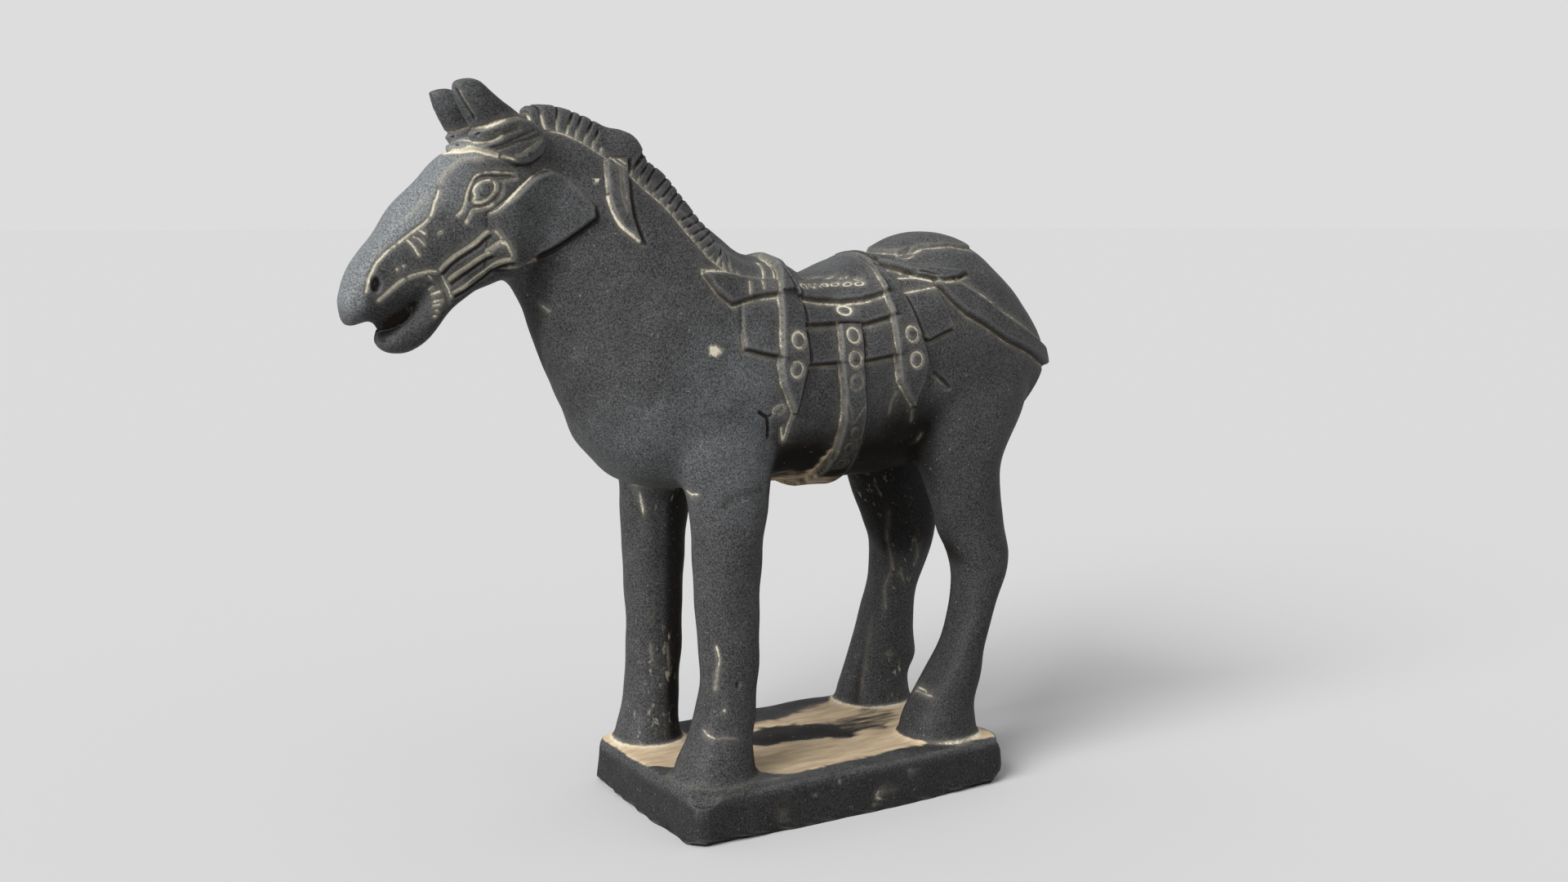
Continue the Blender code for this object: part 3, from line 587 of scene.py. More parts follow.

# The dark share at each lower edge is a painted shadow under the step.
patch(LOWER_PANEL, PANEL_STANDS, lip=PANEL_LIP, cream=(0, 0, 0.4, 0), dark=(0, 0, 1, 0))
patch(FRONT_PANEL, PANEL_STANDS, lip=PANEL_LIP, cream=(0.55, 0, 0.3, 0), dark=(0, 0, 0.9, 0))
patch(REAR_PANEL, PANEL_STANDS, lip=PANEL_LIP, cream=(0, 0.7, 0.3, 0.75), dark=(0, 0, 1, 0))
patch(SKIRT, SKIRT_STANDS, lip=0.7, cream=(0, 0, 0.4, 0), dark=(0, 0, 1, 0))
patch(SADDLE_TAB, SKIRT_STANDS, lip=0.9, cream=(0.6, 0, 0.6, 0.7), dark=(0, 0, 0.8, 0))
patch(SEAT, SEAT_STANDS, lip=1.0, cream=(0, 0, 0.7, 0), dark=(0, 0, 0.9, 0))
print("tack stands up to", round(carving.raised.max(), 2), "mm")

# %% The cloth over the rump, the crupper strap and the bar behind the seat
CANTLE_BAR = (
    (27, 196.5, 201),
    (35, 194.5, 199),
    (42, 191.5, 195.5),
    (50, 189.5, 195),
    (57, 190.5, 194.5),
    (63, 192.5, 194),
)
BACK_CLOTH = (
    (33, 201.5, OVER_THE_BACK),
    (45, 201, OVER_THE_BACK),
    (50, 203, OVER_THE_BACK),
    (63, 204, OVER_THE_BACK),
    (77, 202, OVER_THE_BACK),
)
CRUPPER = (
    (47, 187.5, 193),
    (52, 182, 192),
    (58, 176.5, 190),
    (68, 171.5, 184),
    (79, 165, 176.5),
    (91, 160.5, 170.5),
    (102, 155.5, 165),
    (112, 151.5, 160.5),
)

patch(BACK_CLOTH, PANEL_STANDS, cream=(0, 0.3, 0.6, 0))
# The dark shares here are painted shadows under the lower edges and under the bar's end.
patch(
    CRUPPER,
    SKIRT_STANDS,
    lip=0.9,
    soft=(1, 1, 2, 2.5),
    cream=(0, 0, 0.4, 0.6),
    soil=(0, 0, 0.5, 0),
    dark=(0, 0, 0.8, 0),
)
patch(CANTLE_BAR, SKIRT_STANDS, lip=0.7, cream=(0, 0, 0.6, 0.2), dark=(0, 0.5, 0.9, 0))
print("the crupper runs back to", CRUPPER[-1][0], "mm")

# %% The three straps that hang down
STRAP_STANDS = 2.7
FRONT_STRAP = (
    (141, -25.5, -24.5),
    (146, -28, -23.2),
    (153, -31.5, -21.3),
    (160.5, -32.8, -18.8),
    (164, -31.8, -18.8),
    (173, -30.5, -19.3),
    (184, -28.3, -18.2),
    (190, -25, -18),
    (194.3, -21, -16.8),
    (198, -19.5, -14.5),
    (204, -18, -13),
)
REAR_STRAP = (
    (140.5, 31.5, 32.5),
    (145, 27.5, 33.2),
    (151, 23, 36.3),
    (159, 22, 37.8),
    (166, 22, 36),
    (173, 22.2, 34),
    (182, 22.3, 31.8),
    (190, 23.3, 29.3),
    (196, 24.7, 28.6),
    (206, 26, 29.8),
)
GIRTH = (
    (105, -8, 8),
    (113, -6, 9),
    (118, -3.5, 9),
    (126, -2.8, 8.6),
    (136, -3, 8.4),
    (148, -3.5, 7),
    (160, -4.8, 6.5),
    (174, -2.6, 8.6),
)

# On each strap, the dark share along its rear edge is a painted shadow.
patch(
    FRONT_STRAP, STRAP_STANDS, hanging=True, cream=(0, 0, 0.62, 0), soil=(0, 0, 0, 0.25), dark=(0, 0, 0, 0.9)
)
patch(
    REAR_STRAP, STRAP_STANDS, hanging=True, cream=(0, 0, 0.62, 0), soil=(0, 0, 0, 0.35), dark=(0, 0, 0, 0.8)
)
patch(GIRTH, STRAP_STANDS, hanging=True, cream=(0, 0, 0.55, 0), soil=(0, 0, 0.3, 0.5), dark=(0, 0, 0, 0.7))
print("straps reach down to", GIRTH[0][0], "mm over the plinth")

# %% [markdown]
# The straps are held by round studs, each a ring cut with a hollow reed. Two rows of small oval
# loops run across the seat, and a few single strokes mark folds in the leather.

# %% Rings and loops on the tack
STUD = dict(long=2.8, high=2.9, wide=0.85, deep=0.8, dome=0.3)
STUDS = ((-24.2, 168.9), (-25.7, 158.3), (2.6, 169.3), (1.7, 160.7), (29.5, 169.3), (30.6, 159.5))
GIRTH_STUDS = (((1.4, 152.4), 0.45), ((3.1, 132.9), 0.2), ((2.3, 127.1), 0.2), ((1.9, 120.8), 0.2))
LOOP = dict(wide=0.6, deep=0.6)
UPPER_LOOPS = ((-8.3, 189.9), (-3, 189.5), (1.7, 189.4), (6.2, 189.4), (10.6, 189.6), (15.2, 189.3))
LOWER_LOOPS = ((-14.6, 187.4), (-9.6, 187), (-4.6, 186.8), (0.4, 186.7), (5.2, 186.9), (9.8, 187.1))
LOWER_LOOPS += ((14.2, 187.5),)

for centre in STUDS:
    ring(centre, cream=0.85, **STUD)
for centre, dusty in GIRTH_STUDS:
    ring(centre, cream=dusty, **STUD)
for centre in UPPER_LOOPS:
    ring(centre, long=1.5, high=0.9, cream=0.7, **LOOP)
for centre in LOWER_LOOPS:
    ring(centre, long=1.7, high=1.0, cream=0.85, **LOOP)
ring((2.4, 178.3), long=3.1, high=2.2, wide=0.9, deep=0.7, cream=1.0)
ring((57, 205.5), long=2.2, high=1.6, cream=0.1, **LOOP)
ring((41.5, 200.8), long=2.4, high=0.9, wide=1.5, deep=1.5, cream=0.0)
print("rings and loops:", len(STUDS + GIRTH_STUDS + UPPER_LOOPS + LOWER_LOOPS) + 3)

# %% Strokes on the saddle
SADDLE_LINES = (
    (1.0, (-58.8, 194.8), (-51.7, 194.7), (-42.9, 193.2), (-36.1, 192.2), (-31.1, 191.2)),
    (0.75, (-38.7, 191), (-41.2, 185.2)),
    (0.75, (-32.4, 190.8), (-33.9, 186.5)),
    (0.9, (-24.3, 198.2), (-26.6, 195.7), (-30.3, 191.6)),
    (0.9, (-20.8, 197.7), (-22.3, 195.2), (-25, 191.8)),
    (0.85, (11.2, 196.1), (13.1, 196.7)),
    (0.85, (6.7, 193.2), (11.3, 194.3)),
    (0.2, (-2.8, 146.6), (-1.7, 143), (0.5, 137.3), (3.3, 140.8), (6.1, 144.3)),
)
FOLDS = (
    ((25.5, 195), (29.5, 194)),
    ((29.5, 196.5), (33.5, 195.3)),
    ((33.5, 193.3), (43.9, 192.4), (48.9, 190.8)),
)

strokes(SADDLE_LINES, wide=0.8, deep=0.55)
for path in FOLDS:
    line(path, wide=1.0, deep=1.0, cream=0.0)
line(((38, 198.9), (41.5, 198.4), (45, 199.8)), wide=0.8, deep=0.2, cream=0.6)
line(((32, 191.2), (39.8, 191.1), (46.7, 189.2)), wide=0.9, deep=0.5, cream=0.9)
line(((59, 191), (62.2, 193.3)), wide=1.2, deep=1.1, cream=0.0)
print("most cut:", round(carving.cut.max(), 2), "mm")

# %% [markdown]
# The flanks carry stray tool marks beside the tack. They came with the mould and are on both sides.
# The legs have scratches, drips and pale threads of old dirt on the side that the picture shows, and
# those inside the far legs are given as points in space, because the side view can't reach them.

# %% Marks on the flanks
# Marks that are given a darkening share have painted shade in the cut.
FLANK_MARKS = (
    (dict(wide=1.5, deep=0.7, cream=0.0, soot=0.2), (41.2, 153.9), (46, 150.6), (50.5, 146.6)),
    (dict(wide=0.6, deep=0.5, cream=0.0, soot=0.7), (40.8, 154.6), (43, 150.2), (46.8, 147.2),
        (50.6, 146.2)),
    (dict(wide=0.6, deep=0.0, cream=0.4), (41.3, 152.9), (44.3, 149.4), (47.6, 146.8), (50.8, 146.2)),
    (dict(wide=0.8, cream=0.7), (-33.4, 141), (-34.6, 142.9), (-32.7, 144.6), (-29.7, 144.9), (-30.5, 142.2),
        (-32.9, 141)),
    (dict(wide=1.0, deep=0.8, cream=0.9), (-25.3, 141.5), (-26.7, 137), (-27.9, 130.5), (-29.9, 136.8)),
    (dict(wide=1.1, deep=1.2, cream=0.0, soot=0.6), (-40.9, 143.2), (-38.5, 141.4), (-36.9, 140.3),
        (-35.9, 136.7), (-35.3, 132)),
    (dict(wide=0.9, deep=0.8, cream=0.0, soot=0.5), (-36.9, 140.3), (-34.9, 141.6), (-33.8, 142.8)),
    (dict(wide=0.9, deep=0.35, cream=0.4), (23.2, 147.8), (20.7, 143.2), (20.5, 137.6)),
    (dict(wide=0.9, deep=0.35, cream=0.35), (31.6, 139.5), (32.1, 133.8)),
    (dict(wide=1.2, deep=0.2, cream=0.4), (39.7, 129.3), (38.8, 125.2)),
    (dict(wide=2.4, deep=0.0, cream=0.0, soil=0.75), (-3.8, 126), (-6.5, 114), (-10, 106)),
)
for how, *path in FLANK_MARKS:
    line(path, **how)
print("marks on both flanks:", len(FLANK_MARKS))

# %% Scratches and drips that only the left side has
# The wide crease at the top of the near front leg is darkened as painted shade.
LEFT_MARKS = (
    (dict(wide=0.75, deep=0.5, cream=0.85), (-57.9, 54.8), (-56.8, 49.2), (-57.2, 45)),
    (dict(wide=1.3, deep=0.3, cream=0.42), (-57.2, 47), (-57.4, 42.8), (-57.9, 36.3)),
    (dict(wide=1.2, deep=1.1, cream=0.0), (-50.2, 40.2), (-50.5, 37.3)),
    (dict(wide=0.9, deep=0.2, cream=0.8), (-55.7, 30.3), (-55.4, 28.3)),
    (dict(wide=0.7, deep=0.2, cream=0.7), (-62, 21.8), (-61.4, 19.9), (-59.3, 18.7)),
    (dict(wide=0.6, deep=0.1, cream=0.4), (-59.3, 18.7), (-55.6, 19.1), (-51.3, 18.1)),
    (dict(wide=0.7, deep=0.1, cream=0.7), (44.5, 20.6), (43.9, 19)),
    (dict(wide=0.7, deep=0.1, cream=0.65), (43.2, 18.9), (45.2, 18.7)),
    (dict(wide=2.6, deep=0.4, cream=0.0, soot=0.2), (-56.2, 106.8), (-55.4, 109), (-52.9, 111.3),
        (-47.5, 112.2), (-39.2, 113.6)),
    (dict(wide=0.6, deep=0.1, cream=0.6), (-115.6, 183.7), (-112.3, 181)),
)
for how, *path in LEFT_MARKS:
    line(path, both=False, **how)
SPECKS = ((-95.1, 228.7, 0.6), (-58.3, 166.2, 1.7))
for x, z, size in SPECKS:
    spot(carving.on_flank(x, z)[0], size, cream=1.3)
ARMPIT = ((-65.2, -25.5, 113.6), (-64.1, -28.7, 112.2), (-62.8, -32.5, 112.6))
CHEST_CREASE = ((-66, 24, 108.3), (-61.5, 18.7, 108.8), (-54.5, 15.2, 107.8), (-48.5, 14.8, 106.8))
DRIP = ((-62.2, 19.8, 106), (-61.2, 19.5, 101), (-60.4, 19.3, 95.5))
groove(ARMPIT, wide=1.1, deep=0.3, cream=1.0, both=False)
groove(CHEST_CREASE, wide=0.9, deep=0.4, cream=0.8, both=False)
groove(DRIP, wide=0.9, deep=0.0, cream=1.0, both=False)
THREADS = (
    ((58, 16.9, 88), (58.8, 18.9, 80), (59.3, 19.7, 74.4), (61.4, 19.3, 62), (58.8, 20.8, 52.1),
        (58.2, 18.6, 42.8)),
    ((70.7, 15, 75), (72.7, 15.5, 67.6), (71, 15.5, 61)),
    ((62, 17.5, 60.5), (64.9, 16.9, 58.3), (66, 16.5, 55)),
    ((56, 16.2, 23.8), (58.2, 15.6, 23.1), (60.4, 15.2, 23.4)),
    ((47, 20.5, 19.5), (48.8, 20, 16.5)),
    ((-57.6, 20, 44), (-57.9, 20, 40), (-57.2, 19.5, 35)),
    ((-50.7, 18.7, 43), (-50.5, 18.6, 36), (-50.2, 18.5, 29)),
    ((-60.5, 24, 88), (-60.8, 24, 80), (-60.2, 24, 70)),
    ((-56.5, 20.4, 62), (-57, 20.3, 52)),
    ((-54, 19.5, 31), (-56, 19.8, 29.5), (-55, 19.6, 27.5)),
    ((-60.5, 21.5, 23), (-58, 21, 23.6), (-56, 20.5, 22.5)),
    ((-60, 21.5, 16), (-57.5, 21, 18), (-54, 20, 16.5), (-51, 19.5, 18.5)),
    ((-55, 20, 15), (-54, 20, 10), (-55.5, 20.5, 5)),
)
for path in THREADS:
    groove(filled_in(path), wide=0.75, deep=0.25, cream=0.6, both=False)
HIND_THREAD = ((54.5, 22.5, 45), (53.4, 23.3, 37.4), (46.9, 19.9, 14.3), (44.5, 18.4, 5.1))
groove(HIND_THREAD, wide=0.8, deep=0.3, cream=0.3, both=False)
print("marks on one side alone:", len(LEFT_MARKS) + len(THREADS))

# %% [markdown]
# ## The head
# The cheek is a plate with a soft upper edge and a deep lower one. The forelock is swept back below
# the ears in bands. Eye, lids, nose and bridle are all drawn lines, and they hold the palest dust.

# %% The cheek plate, the forelock and the lock on the neck
CHEEK_STANDS = 3.2
FORELOCK_STANDS = 1.4
LOCK_STANDS = 1.4
CHEEK = (
    (-138, 197, 216.5),
    (-131, 197, 221.5),
    (-126, 198, 225.5),
    (-122, 200, 228.5),
    (-118, 201.5, 231),
    (-113, 203.7, 232.3),
    (-108, 207, 230.6),
    (-103, 210.5, 226.3),
    (-97, 214.8, 218.8),
)
FORELOCK = (
    (-165, 238.5, 244.5),
    (-140, 238.5, 245.5),
    (-133, 237, 248.5),
    (-126.5, 233.5, 250),
    (-121, 234, 249),
    (-116.5, 237, 246.5),
    (-114.5, 240.5, 243),
)
NECK_LOCK = (
    (205.5, -81.8, -80.8),
    (211, -88, -82),
    (215, -90.2, -82.8),
    (222, -92, -83),
    (230, -91.4, -81.7),
    (237, -90, -79.5),
)

# The dark shares are a painted shadow under the plate's rear and lower edge.
patch(CHEEK, CHEEK_STANDS, soft=(14, 1.2, 1.2, 2), soil=(0, 0, 0.2, 0), dark=(0, 0.5, 0.9, 0))
CHEEK_LINE = ((-138, 216.3), (-134.8, 217.5), (-132.6, 219.5), (-129.4, 222.3), (-125.7, 225.5),
    (-122.4, 228.1), (-119.3, 230.5))
line(CHEEK_LINE, wide=0.65, deep=0.6, cream=0.85)
CHEEK_BEND = ((-119.3, 230.5), (-116, 232), (-112.7, 232.2), (-108, 230.6), (-101.4, 224.6), (-96.9, 218.3))
line(CHEEK_BEND, wide=0.6, deep=0.5, cream=0.4)
line(((-131, 198.5), (-124, 199), (-117, 200.3)), wide=2.6, deep=0.0, cream=0.15, soil=0.5)

patch(FORELOCK, FORELOCK_STANDS, cream=(0, 0, 0, 0.6))
# The dark share is a painted shadow along the lock's rear edge.
patch(NECK_LOCK, LOCK_STANDS, hanging=True, cream=(0.3, 0.2, 0, 0), dark=(0, 0, 0, 0.9))
LOW_EDGE = ((-158, 237.8), (-144.1, 238.3), (-140.2, 238.9), (-135.3, 237.5), (-132.2, 236.6))
line(LOW_EDGE, wide=1.7, deep=0.7, cream=1.4)
line(((-132.2, 236.6), (-129, 236), (-126.9, 235.2)), wide=1.1, deep=0.7, cream=1.2)
FORELOCK_LINES = (
    (0.9, (-146, 244), (-140.1, 245.9), (-136.8, 246.5), (-133.6, 247.9), (-129.8, 249.5)),
    (0.95, (-150, 240.4), (-143.4, 241.2), (-139.1, 241.5), (-136.3, 241.7), (-133.8, 242.6),
        (-131.3, 244.3)),
    (0.3, (-138.5, 240.4), (-135.8, 241.8), (-132.9, 243.5), (-129, 245.5), (-125.2, 246.7)),
    (0.12, (-135.3, 239.6), (-131.6, 240.7), (-128.2, 242.5), (-123.3, 244.6), (-119.7, 245.8)),
    (0.12, (-134.2, 238.7), (-130.4, 240.2), (-126.4, 241.9), (-122, 242.9), (-117.8, 244.2)),
    (0.75, (-127.8, 237.1), (-124.8, 237.8), (-121.8, 239.8), (-117.9, 242.2)),
    (1.1, (-126.8, 246.6), (-125.4, 246.9)),
    (1.1, (-118.3, 242), (-117.2, 242.7)),
)
strokes(FORELOCK_LINES, wide=0.85, deep=0.75)
line(((-138.7, 244.9), (-142.3, 242.1), (-143.3, 239.3)), wide=0.7, deep=1.2, cream=0.0)
print("strokes in the forelock:", len(FORELOCK_LINES))

# %% The strands of the lock and the fold of the ear
LOCK_LINES = (
    (0.5, (-90.3, 237.2), (-91, 233), (-91.4, 228.2), (-92.1, 223.5)),
    (0.95, (-92.1, 223.5), (-91.4, 218.8), (-90.1, 215.2), (-88.1, 211.7), (-85.5, 209.3), (-81.8, 205.8)),
    (0.9, (-87.6, 237.5), (-84.8, 236.1), (-81.9, 233.7)),
    (0.35, (-88.3, 236.6), (-86.1, 234.2), (-86.1, 229.4), (-87.1, 225.9), (-86.6, 220), (-85.5, 216.1)),
    (0.3, (-85.5, 236.1), (-84.8, 231.9), (-85.6, 225.9), (-85.3, 221.1), (-84.4, 218.9)),
)
strokes(LOCK_LINES, wide=0.8, deep=0.5)
EAR_FOLD = ((-147.6, 259.5), (-146.2, 256.6), (-144.3, 253.3), (-142.3, 250.3), (-141.4, 248.3))
EAR_DUST = ((-146.6, 259.3), (-145.5, 256.4), (-143.6, 253.1), (-141.7, 250.1))
# The fold is darkened as painted shade.
line(EAR_FOLD, wide=0.8, deep=0.9, cream=0.0, soot=0.35)
line(EAR_DUST, wide=0.6, deep=0.0, cream=0.4, soil=0.4)
print("strands in the lock:", len(LOCK_LINES))

# %% The eye between its lids
EYE = (-138.8, 224.4)
ring(EYE, long=3.2, high=3.1, deep=0, cream=0, dome=0.8)
EYE_LINES = (
    (1.0, (-143.3, 220.3), (-140.3, 220.6), (-137.8, 221.6), (-136, 223.4), (-134.9, 225.4), (-134.9, 227.1),
        (-135.8, 228.1)),
    (1.0, (-135.8, 228.1), (-137.4, 228.3), (-139.4, 227.8), (-141.6, 226.3), (-142.5, 224.5),
        (-142.2, 222.6), (-143.3, 220.3)),
    (0.85, (-149.5, 215.3), (-147, 217.7), (-145.8, 220.5), (-144.9, 223.7), (-143.3, 227.1),
        (-141.6, 229.6), (-139.2, 230.8)),
    (0.7, (-139.2, 230.8), (-136.4, 231.2), (-133, 231.1), (-129.2, 230.9), (-126, 230.8)),
    (0.6, (-134.6, 228.3), (-131, 228.3), (-127.1, 228.8), (-125.8, 229.2)),
    (0.85, (-146.4, 212.4), (-144.6, 215.8), (-143.5, 217.9), (-140.3, 218.3), (-137.4, 219.1),
        (-135.2, 220.3)),
    (0.45, (-135.2, 220.3), (-133.4, 222.6), (-132.3, 225.4), (-132.8, 227.3)),
)
strokes(EYE_LINES, wide=0.9, deep=0.8)
line(((-146.2, 212.8), (-144.9, 215.3)), wide=1.1, deep=0.8, cream=1.1)
LIDS = (
    ((-144.2, 220.3), (-143.7, 223.1), (-142.6, 226.2), (-140.6, 229), (-137.5, 229.8), (-133.3, 229.7),
        (-127.7, 229.8)),
    ((-143.2, 219.2), (-139.5, 219.4), (-136, 221.3), (-133.9, 224)),
)
# The lids' lines are darkened as painted shade in their creases.
for path in LIDS:
    line(path, wide=0.8, deep=0.5, cream=0.0, soot=0.75)
ring(EYE, long=2.1, high=2.0, wide=0.7, deep=0.5, cream=0)
print("strokes round the eye:", len(EYE_LINES) + len(LIDS))

# %% The nose, the nostril and the lips
NOSE_LINES = (
    (0.95, (-153.7, 225.6), (-154.4, 223.1), (-155.7, 220.3), (-156.6, 217.4), (-157.8, 215.2)),
    (0.9, (-157.8, 215.2), (-160.1, 212.9), (-162.4, 211.3), (-165.7, 208.8), (-169, 206.2)),
    (0.95, (-169, 206.2), (-172.2, 203.7), (-174.8, 201), (-176.5, 199), (-177.7, 196.5), (-178.7, 194.6),
        (-180, 189)),
    (1.2, (-176.2, 186.1), (-173.3, 188.3), (-171, 190.5), (-168.8, 192.5), (-166, 194.4)),
    (0.95, (-166, 194.4), (-163.1, 195.5), (-160.2, 196.3), (-157.2, 196.8), (-154.6, 196.5)),
    (0.8, (-166, 208.2), (-163.8, 205.7), (-162.2, 203.1), (-161.1, 201.4)),
    (0.7, (-164.6, 209), (-162.2, 208.2), (-160.9, 207.2), (-159.4, 205.2)),
    (0.8, (-162.1, 211), (-160.5, 210.4), (-159, 209)),
    (0.9, (-169.6, 198.2), (-168.6, 196.6)),
    (0.9, (-167.2, 199), (-166.3, 197.9)),
    (0.7, (-155.9, 209.3), (-153.5, 211)),
)
strokes(NOSE_LINES, strength=1.05, wide=1.0, deep=0.8)
line(((-153.5, 226), (-152, 229), (-149, 232), (-145, 235), (-137, 236)), wide=2.6, deep=0.25, cream=0.36)
line(((-157.3, 223.6), (-161.1, 219.1), (-166, 213.5)), wide=1.6, deep=0.0, cream=0.3)
ring((-176.3, 192.2), long=0.8, high=1.2, wide=1.5, deep=2.6, cream=0.0)
print("strokes on the nose:", len(NOSE_LINES))

# %% The bridle: three cords along the cheek and their ends
BRIDLE_LINES = (
    (1.0, (-154.5, 196.5), (-152.1, 199.4), (-148.9, 202.2), (-145.6, 204.4), (-142.3, 206.7), (-139.9, 209),
        (-137.4, 210.8)),
    (0.6, (-137.4, 210.8), (-135.7, 210.7), (-133.9, 208.9), (-132.9, 207.5)),
    (1.0, (-151.3, 193.3), (-148.1, 195.6), (-144.9, 197.8), (-141.7, 200.4), (-139, 202.1),
        (-136.4, 203.3)),
    (0.9, (-139.2, 202.9), (-136.9, 204.6), (-134.9, 206.1), (-133.5, 206.9), (-132, 205.8)),
    (0.95, (-150, 188.7), (-146.3, 190.4), (-141.6, 193.2), (-137.6, 196.3), (-134.6, 199.2),
        (-131.5, 200.9), (-128.8, 201.4)),
    (0.75, (-132.9, 207.5), (-131.1, 205.5), (-129.8, 203.2), (-128.8, 201.4)),
)
strokes(BRIDLE_LINES, strength=1.15, wide=1.2, deep=1.2, soil=0.15)
# Below each cord, a darkened line is painted shade.
SHADE_OFF = (1.1, -1.5)
for _, *path in BRIDLE_LINES[::2]:
    line([(x + SHADE_OFF[0], z + SHADE_OFF[1]) for x, z in path], wide=1.0, deep=0.9, cream=0.0, soot=0.85)
print("cords:", len(BRIDLE_LINES[::2]))

# %% Wrinkles round the corner of the mouth, and strokes on the jaw
LIP_CORNER = ((-158.8, 195.4), (-156, 194.5), (-153.6, 192.2), (-152.1, 189.6), (-151.1, 186.2))
LIP_CORNER += ((-150.5, 183.8),)
LIP_FOLD = ((-153.3, 195.4), (-152.1, 193), (-150.9, 190.4), (-150.1, 188), (-149.9, 186.5))
JAW_STROKES = (
    ((-158.4, 195.5), (-155.9, 193.5)),
    ((-162.4, 191.8), (-161.9, 192.9)),
    ((-159.8, 191.7), (-158.9, 192.8)),
    ((-157.4, 189.8), (-155.2, 191.8)),
    ((-156.9, 188.2), (-152.9, 189.9)),
    ((-156.8, 185.7), (-152.3, 186.8)),
    ((-156.9, 184.4), (-153.1, 185.2)),
    ((-156.5, 182.5), (-153.7, 183.1)),
    ((-157, 180.8), (-154.6, 181)),
)
line(LIP_CORNER, deep=0.7, cream=0.35)
line(LIP_FOLD, deep=0.9, cream=0.9)
for path in JAW_STROKES:
    line(path, wide=0.75, deep=0.9, cream=0.95)
print("the head is drawn with", len(NOSE_LINES) + len(BRIDLE_LINES) + len(EYE_LINES), "long lines")

# %% [markdown]
# ## The mane
# The mane is cropped like a brush. A line marks its foot, and even notches run up from it over the
# crest. Measuring along the foot line spaces the notches by arc length, as a comb would.

# %% Notch the mane
MANE_FOOT = ((-120, 247.5), (-109, 246.3), (-104.8, 245.5), (-97.9, 242.4), (-90.1, 237.8), (-80.4, 230.5),
    (-73.3, 224.3), (-65, 215.3), (-59.3, 207.2), (-54, 200.2), (-49.7, 196.3), (-41.7, 193.2))
NOTCH_PITCH, NOTCH_DEEP = 3.5, 1.3
NOTCH_SHARP, NOTCH_REACH, CREST_NOTCH = 2.2, 6.5, 0.5
MANE_HIGH, MANE_HALF_WIDTH, MANE_SPREADS_FROM = 16, 7.5, -109
KNOT_FRONT, KNOT_REAR, KNOT_FOOT, KNOT_LEAN = -89.5, -79, 233, 0.62

foot = np.array([carving.on_flank(x, z)[0] for x, z in MANE_FOOT])
near = carving.close_to(foot, MANE_HIGH)
gap, place, _ = distance_along(foot, carving.mirrored[near])
feet, heights = np.array(MANE_FOOT, dtype=float).T
over_foot = carving.z[near] - np.interp(carving.x[near], feet, heights)
x = carving.x[near]
reach = MANE_HALF_WIDTH + np.maximum(x - MANE_SPREADS_FROM, 0)
on_mane = (x > feet[0]) & (x < feet[-1]) & (carving.from_middle[near] < reach)
on_mane &= ~((x > KNOT_FRONT) & (x < KNOT_REAR + KNOT_LEAN * (carving.z[near] - KNOT_FOOT)))
wave = abs((place / NOTCH_PITCH) % 1 - 0.5) * 2
notch = eased(1 - wave * NOTCH_SHARP) * eased(over_foot) * on_mane
shallower = 1 - (1 - CREST_NOTCH) * eased((over_foot - NOTCH_REACH) / 4)
carving.most("cut", near, NOTCH_DEEP * notch * shallower)
carving.most("cream", near, 1.2 * notch * eased(1.4 - over_foot / NOTCH_REACH) * carving.side[near])
# The upper parts of the notches are darkened as painted shade.
carving.most("soot", near, 0.85 * notch * eased((over_foot - 0.35 * NOTCH_REACH) / 2))
groove(foot, wide=1.0, deep=0.5, cream=0.65)
print("the mane has", int(place.max() / NOTCH_PITCH), "notches")

# %% [markdown]
# ## The mouth
# The lower jaw is open like a spoon. Scooping an egg-shaped hollow out of the skin that faces its
# opening leaves a thin rim all round, which a cut from one side couldn't. Its inside is painted dark
# as shade.

# %% Scoop out the lower jaw
MOUTH_CENTRE = np.array((-165.5, 0, 180))
MOUTH_RADII = np.array((9.3, 5.6, 6.2))
MOUTH_OPENS = math.radians(120)


def scoop(centre, radii, opens):
    """Presses the skin that faces the opening down to the far side of an egg shape, and paints it dark as
    shade.
    """
    outward = np.array((math.cos(opens), 0, math.sin(opens)))
    along = np.array((-outward[2], 0, outward[0]))
    away = carving.points - centre
    parts = np.stack([away @ along, away[:, 1], away @ outward], axis=1) / radii
    spare = 1 - parts[:, 0] ** 2 - parts[:, 1] ** 2
    inside = (spare > parts[:, 2] ** 2) & (carving.normals @ outward > 0)
    floor = -radii[2] * np.sqrt(np.maximum(spare, 0))
    sunk = np.where(inside, away @ outward - floor, 0)
    carving.points -= sunk[:, None] * outward
    carving.most("soot", inside, 1.0)
    return inside.sum()


print("the mouth's hollow takes in", scoop(MOUTH_CENTRE, MOUTH_RADII, MOUTH_OPENS), "points")

# %% [markdown]
# ## What hands and time left
# Nothing on a hand-pressed figure is quite even. A few long waves of different directions, added up,
# give the faint lumps of thumbed clay. The plinth's foot is ragged, its corners are knocked off, and
# each loss is a plane that pares away whatever lies beyond it.

# %% Thumbed unevenness
LUMP_LENGTHS, LUMP_HIGH = (13, 17, 22, 29, 37), 0.09
rng = np.random.default_rng(11)


def waves(points, lengths, high):
    """The sum of one wave of each length at the points, each with a direction of its own."""
    total = np.zeros(len(points))
    for length in lengths:
        way = rng.normal(size=3)
        way *= 2 * math.pi / length / np.linalg.norm(way)
        total += high * np.sin(points @ way + rng.uniform(0, 6))
    return total


lumps = waves(carving.points, np.repeat(LUMP_LENGTHS, 2), LUMP_HIGH)
carving.raised += lumps
print("unevenness of up to", round(abs(lumps).max(), 2), "mm")

# %% Move the points as carved
carved = carving.points + carving.normals * (carving.raised - carving.cut)[:, None]
print("moved by up to", round(abs(carving.raised - carving.cut).max(), 2), "mm")

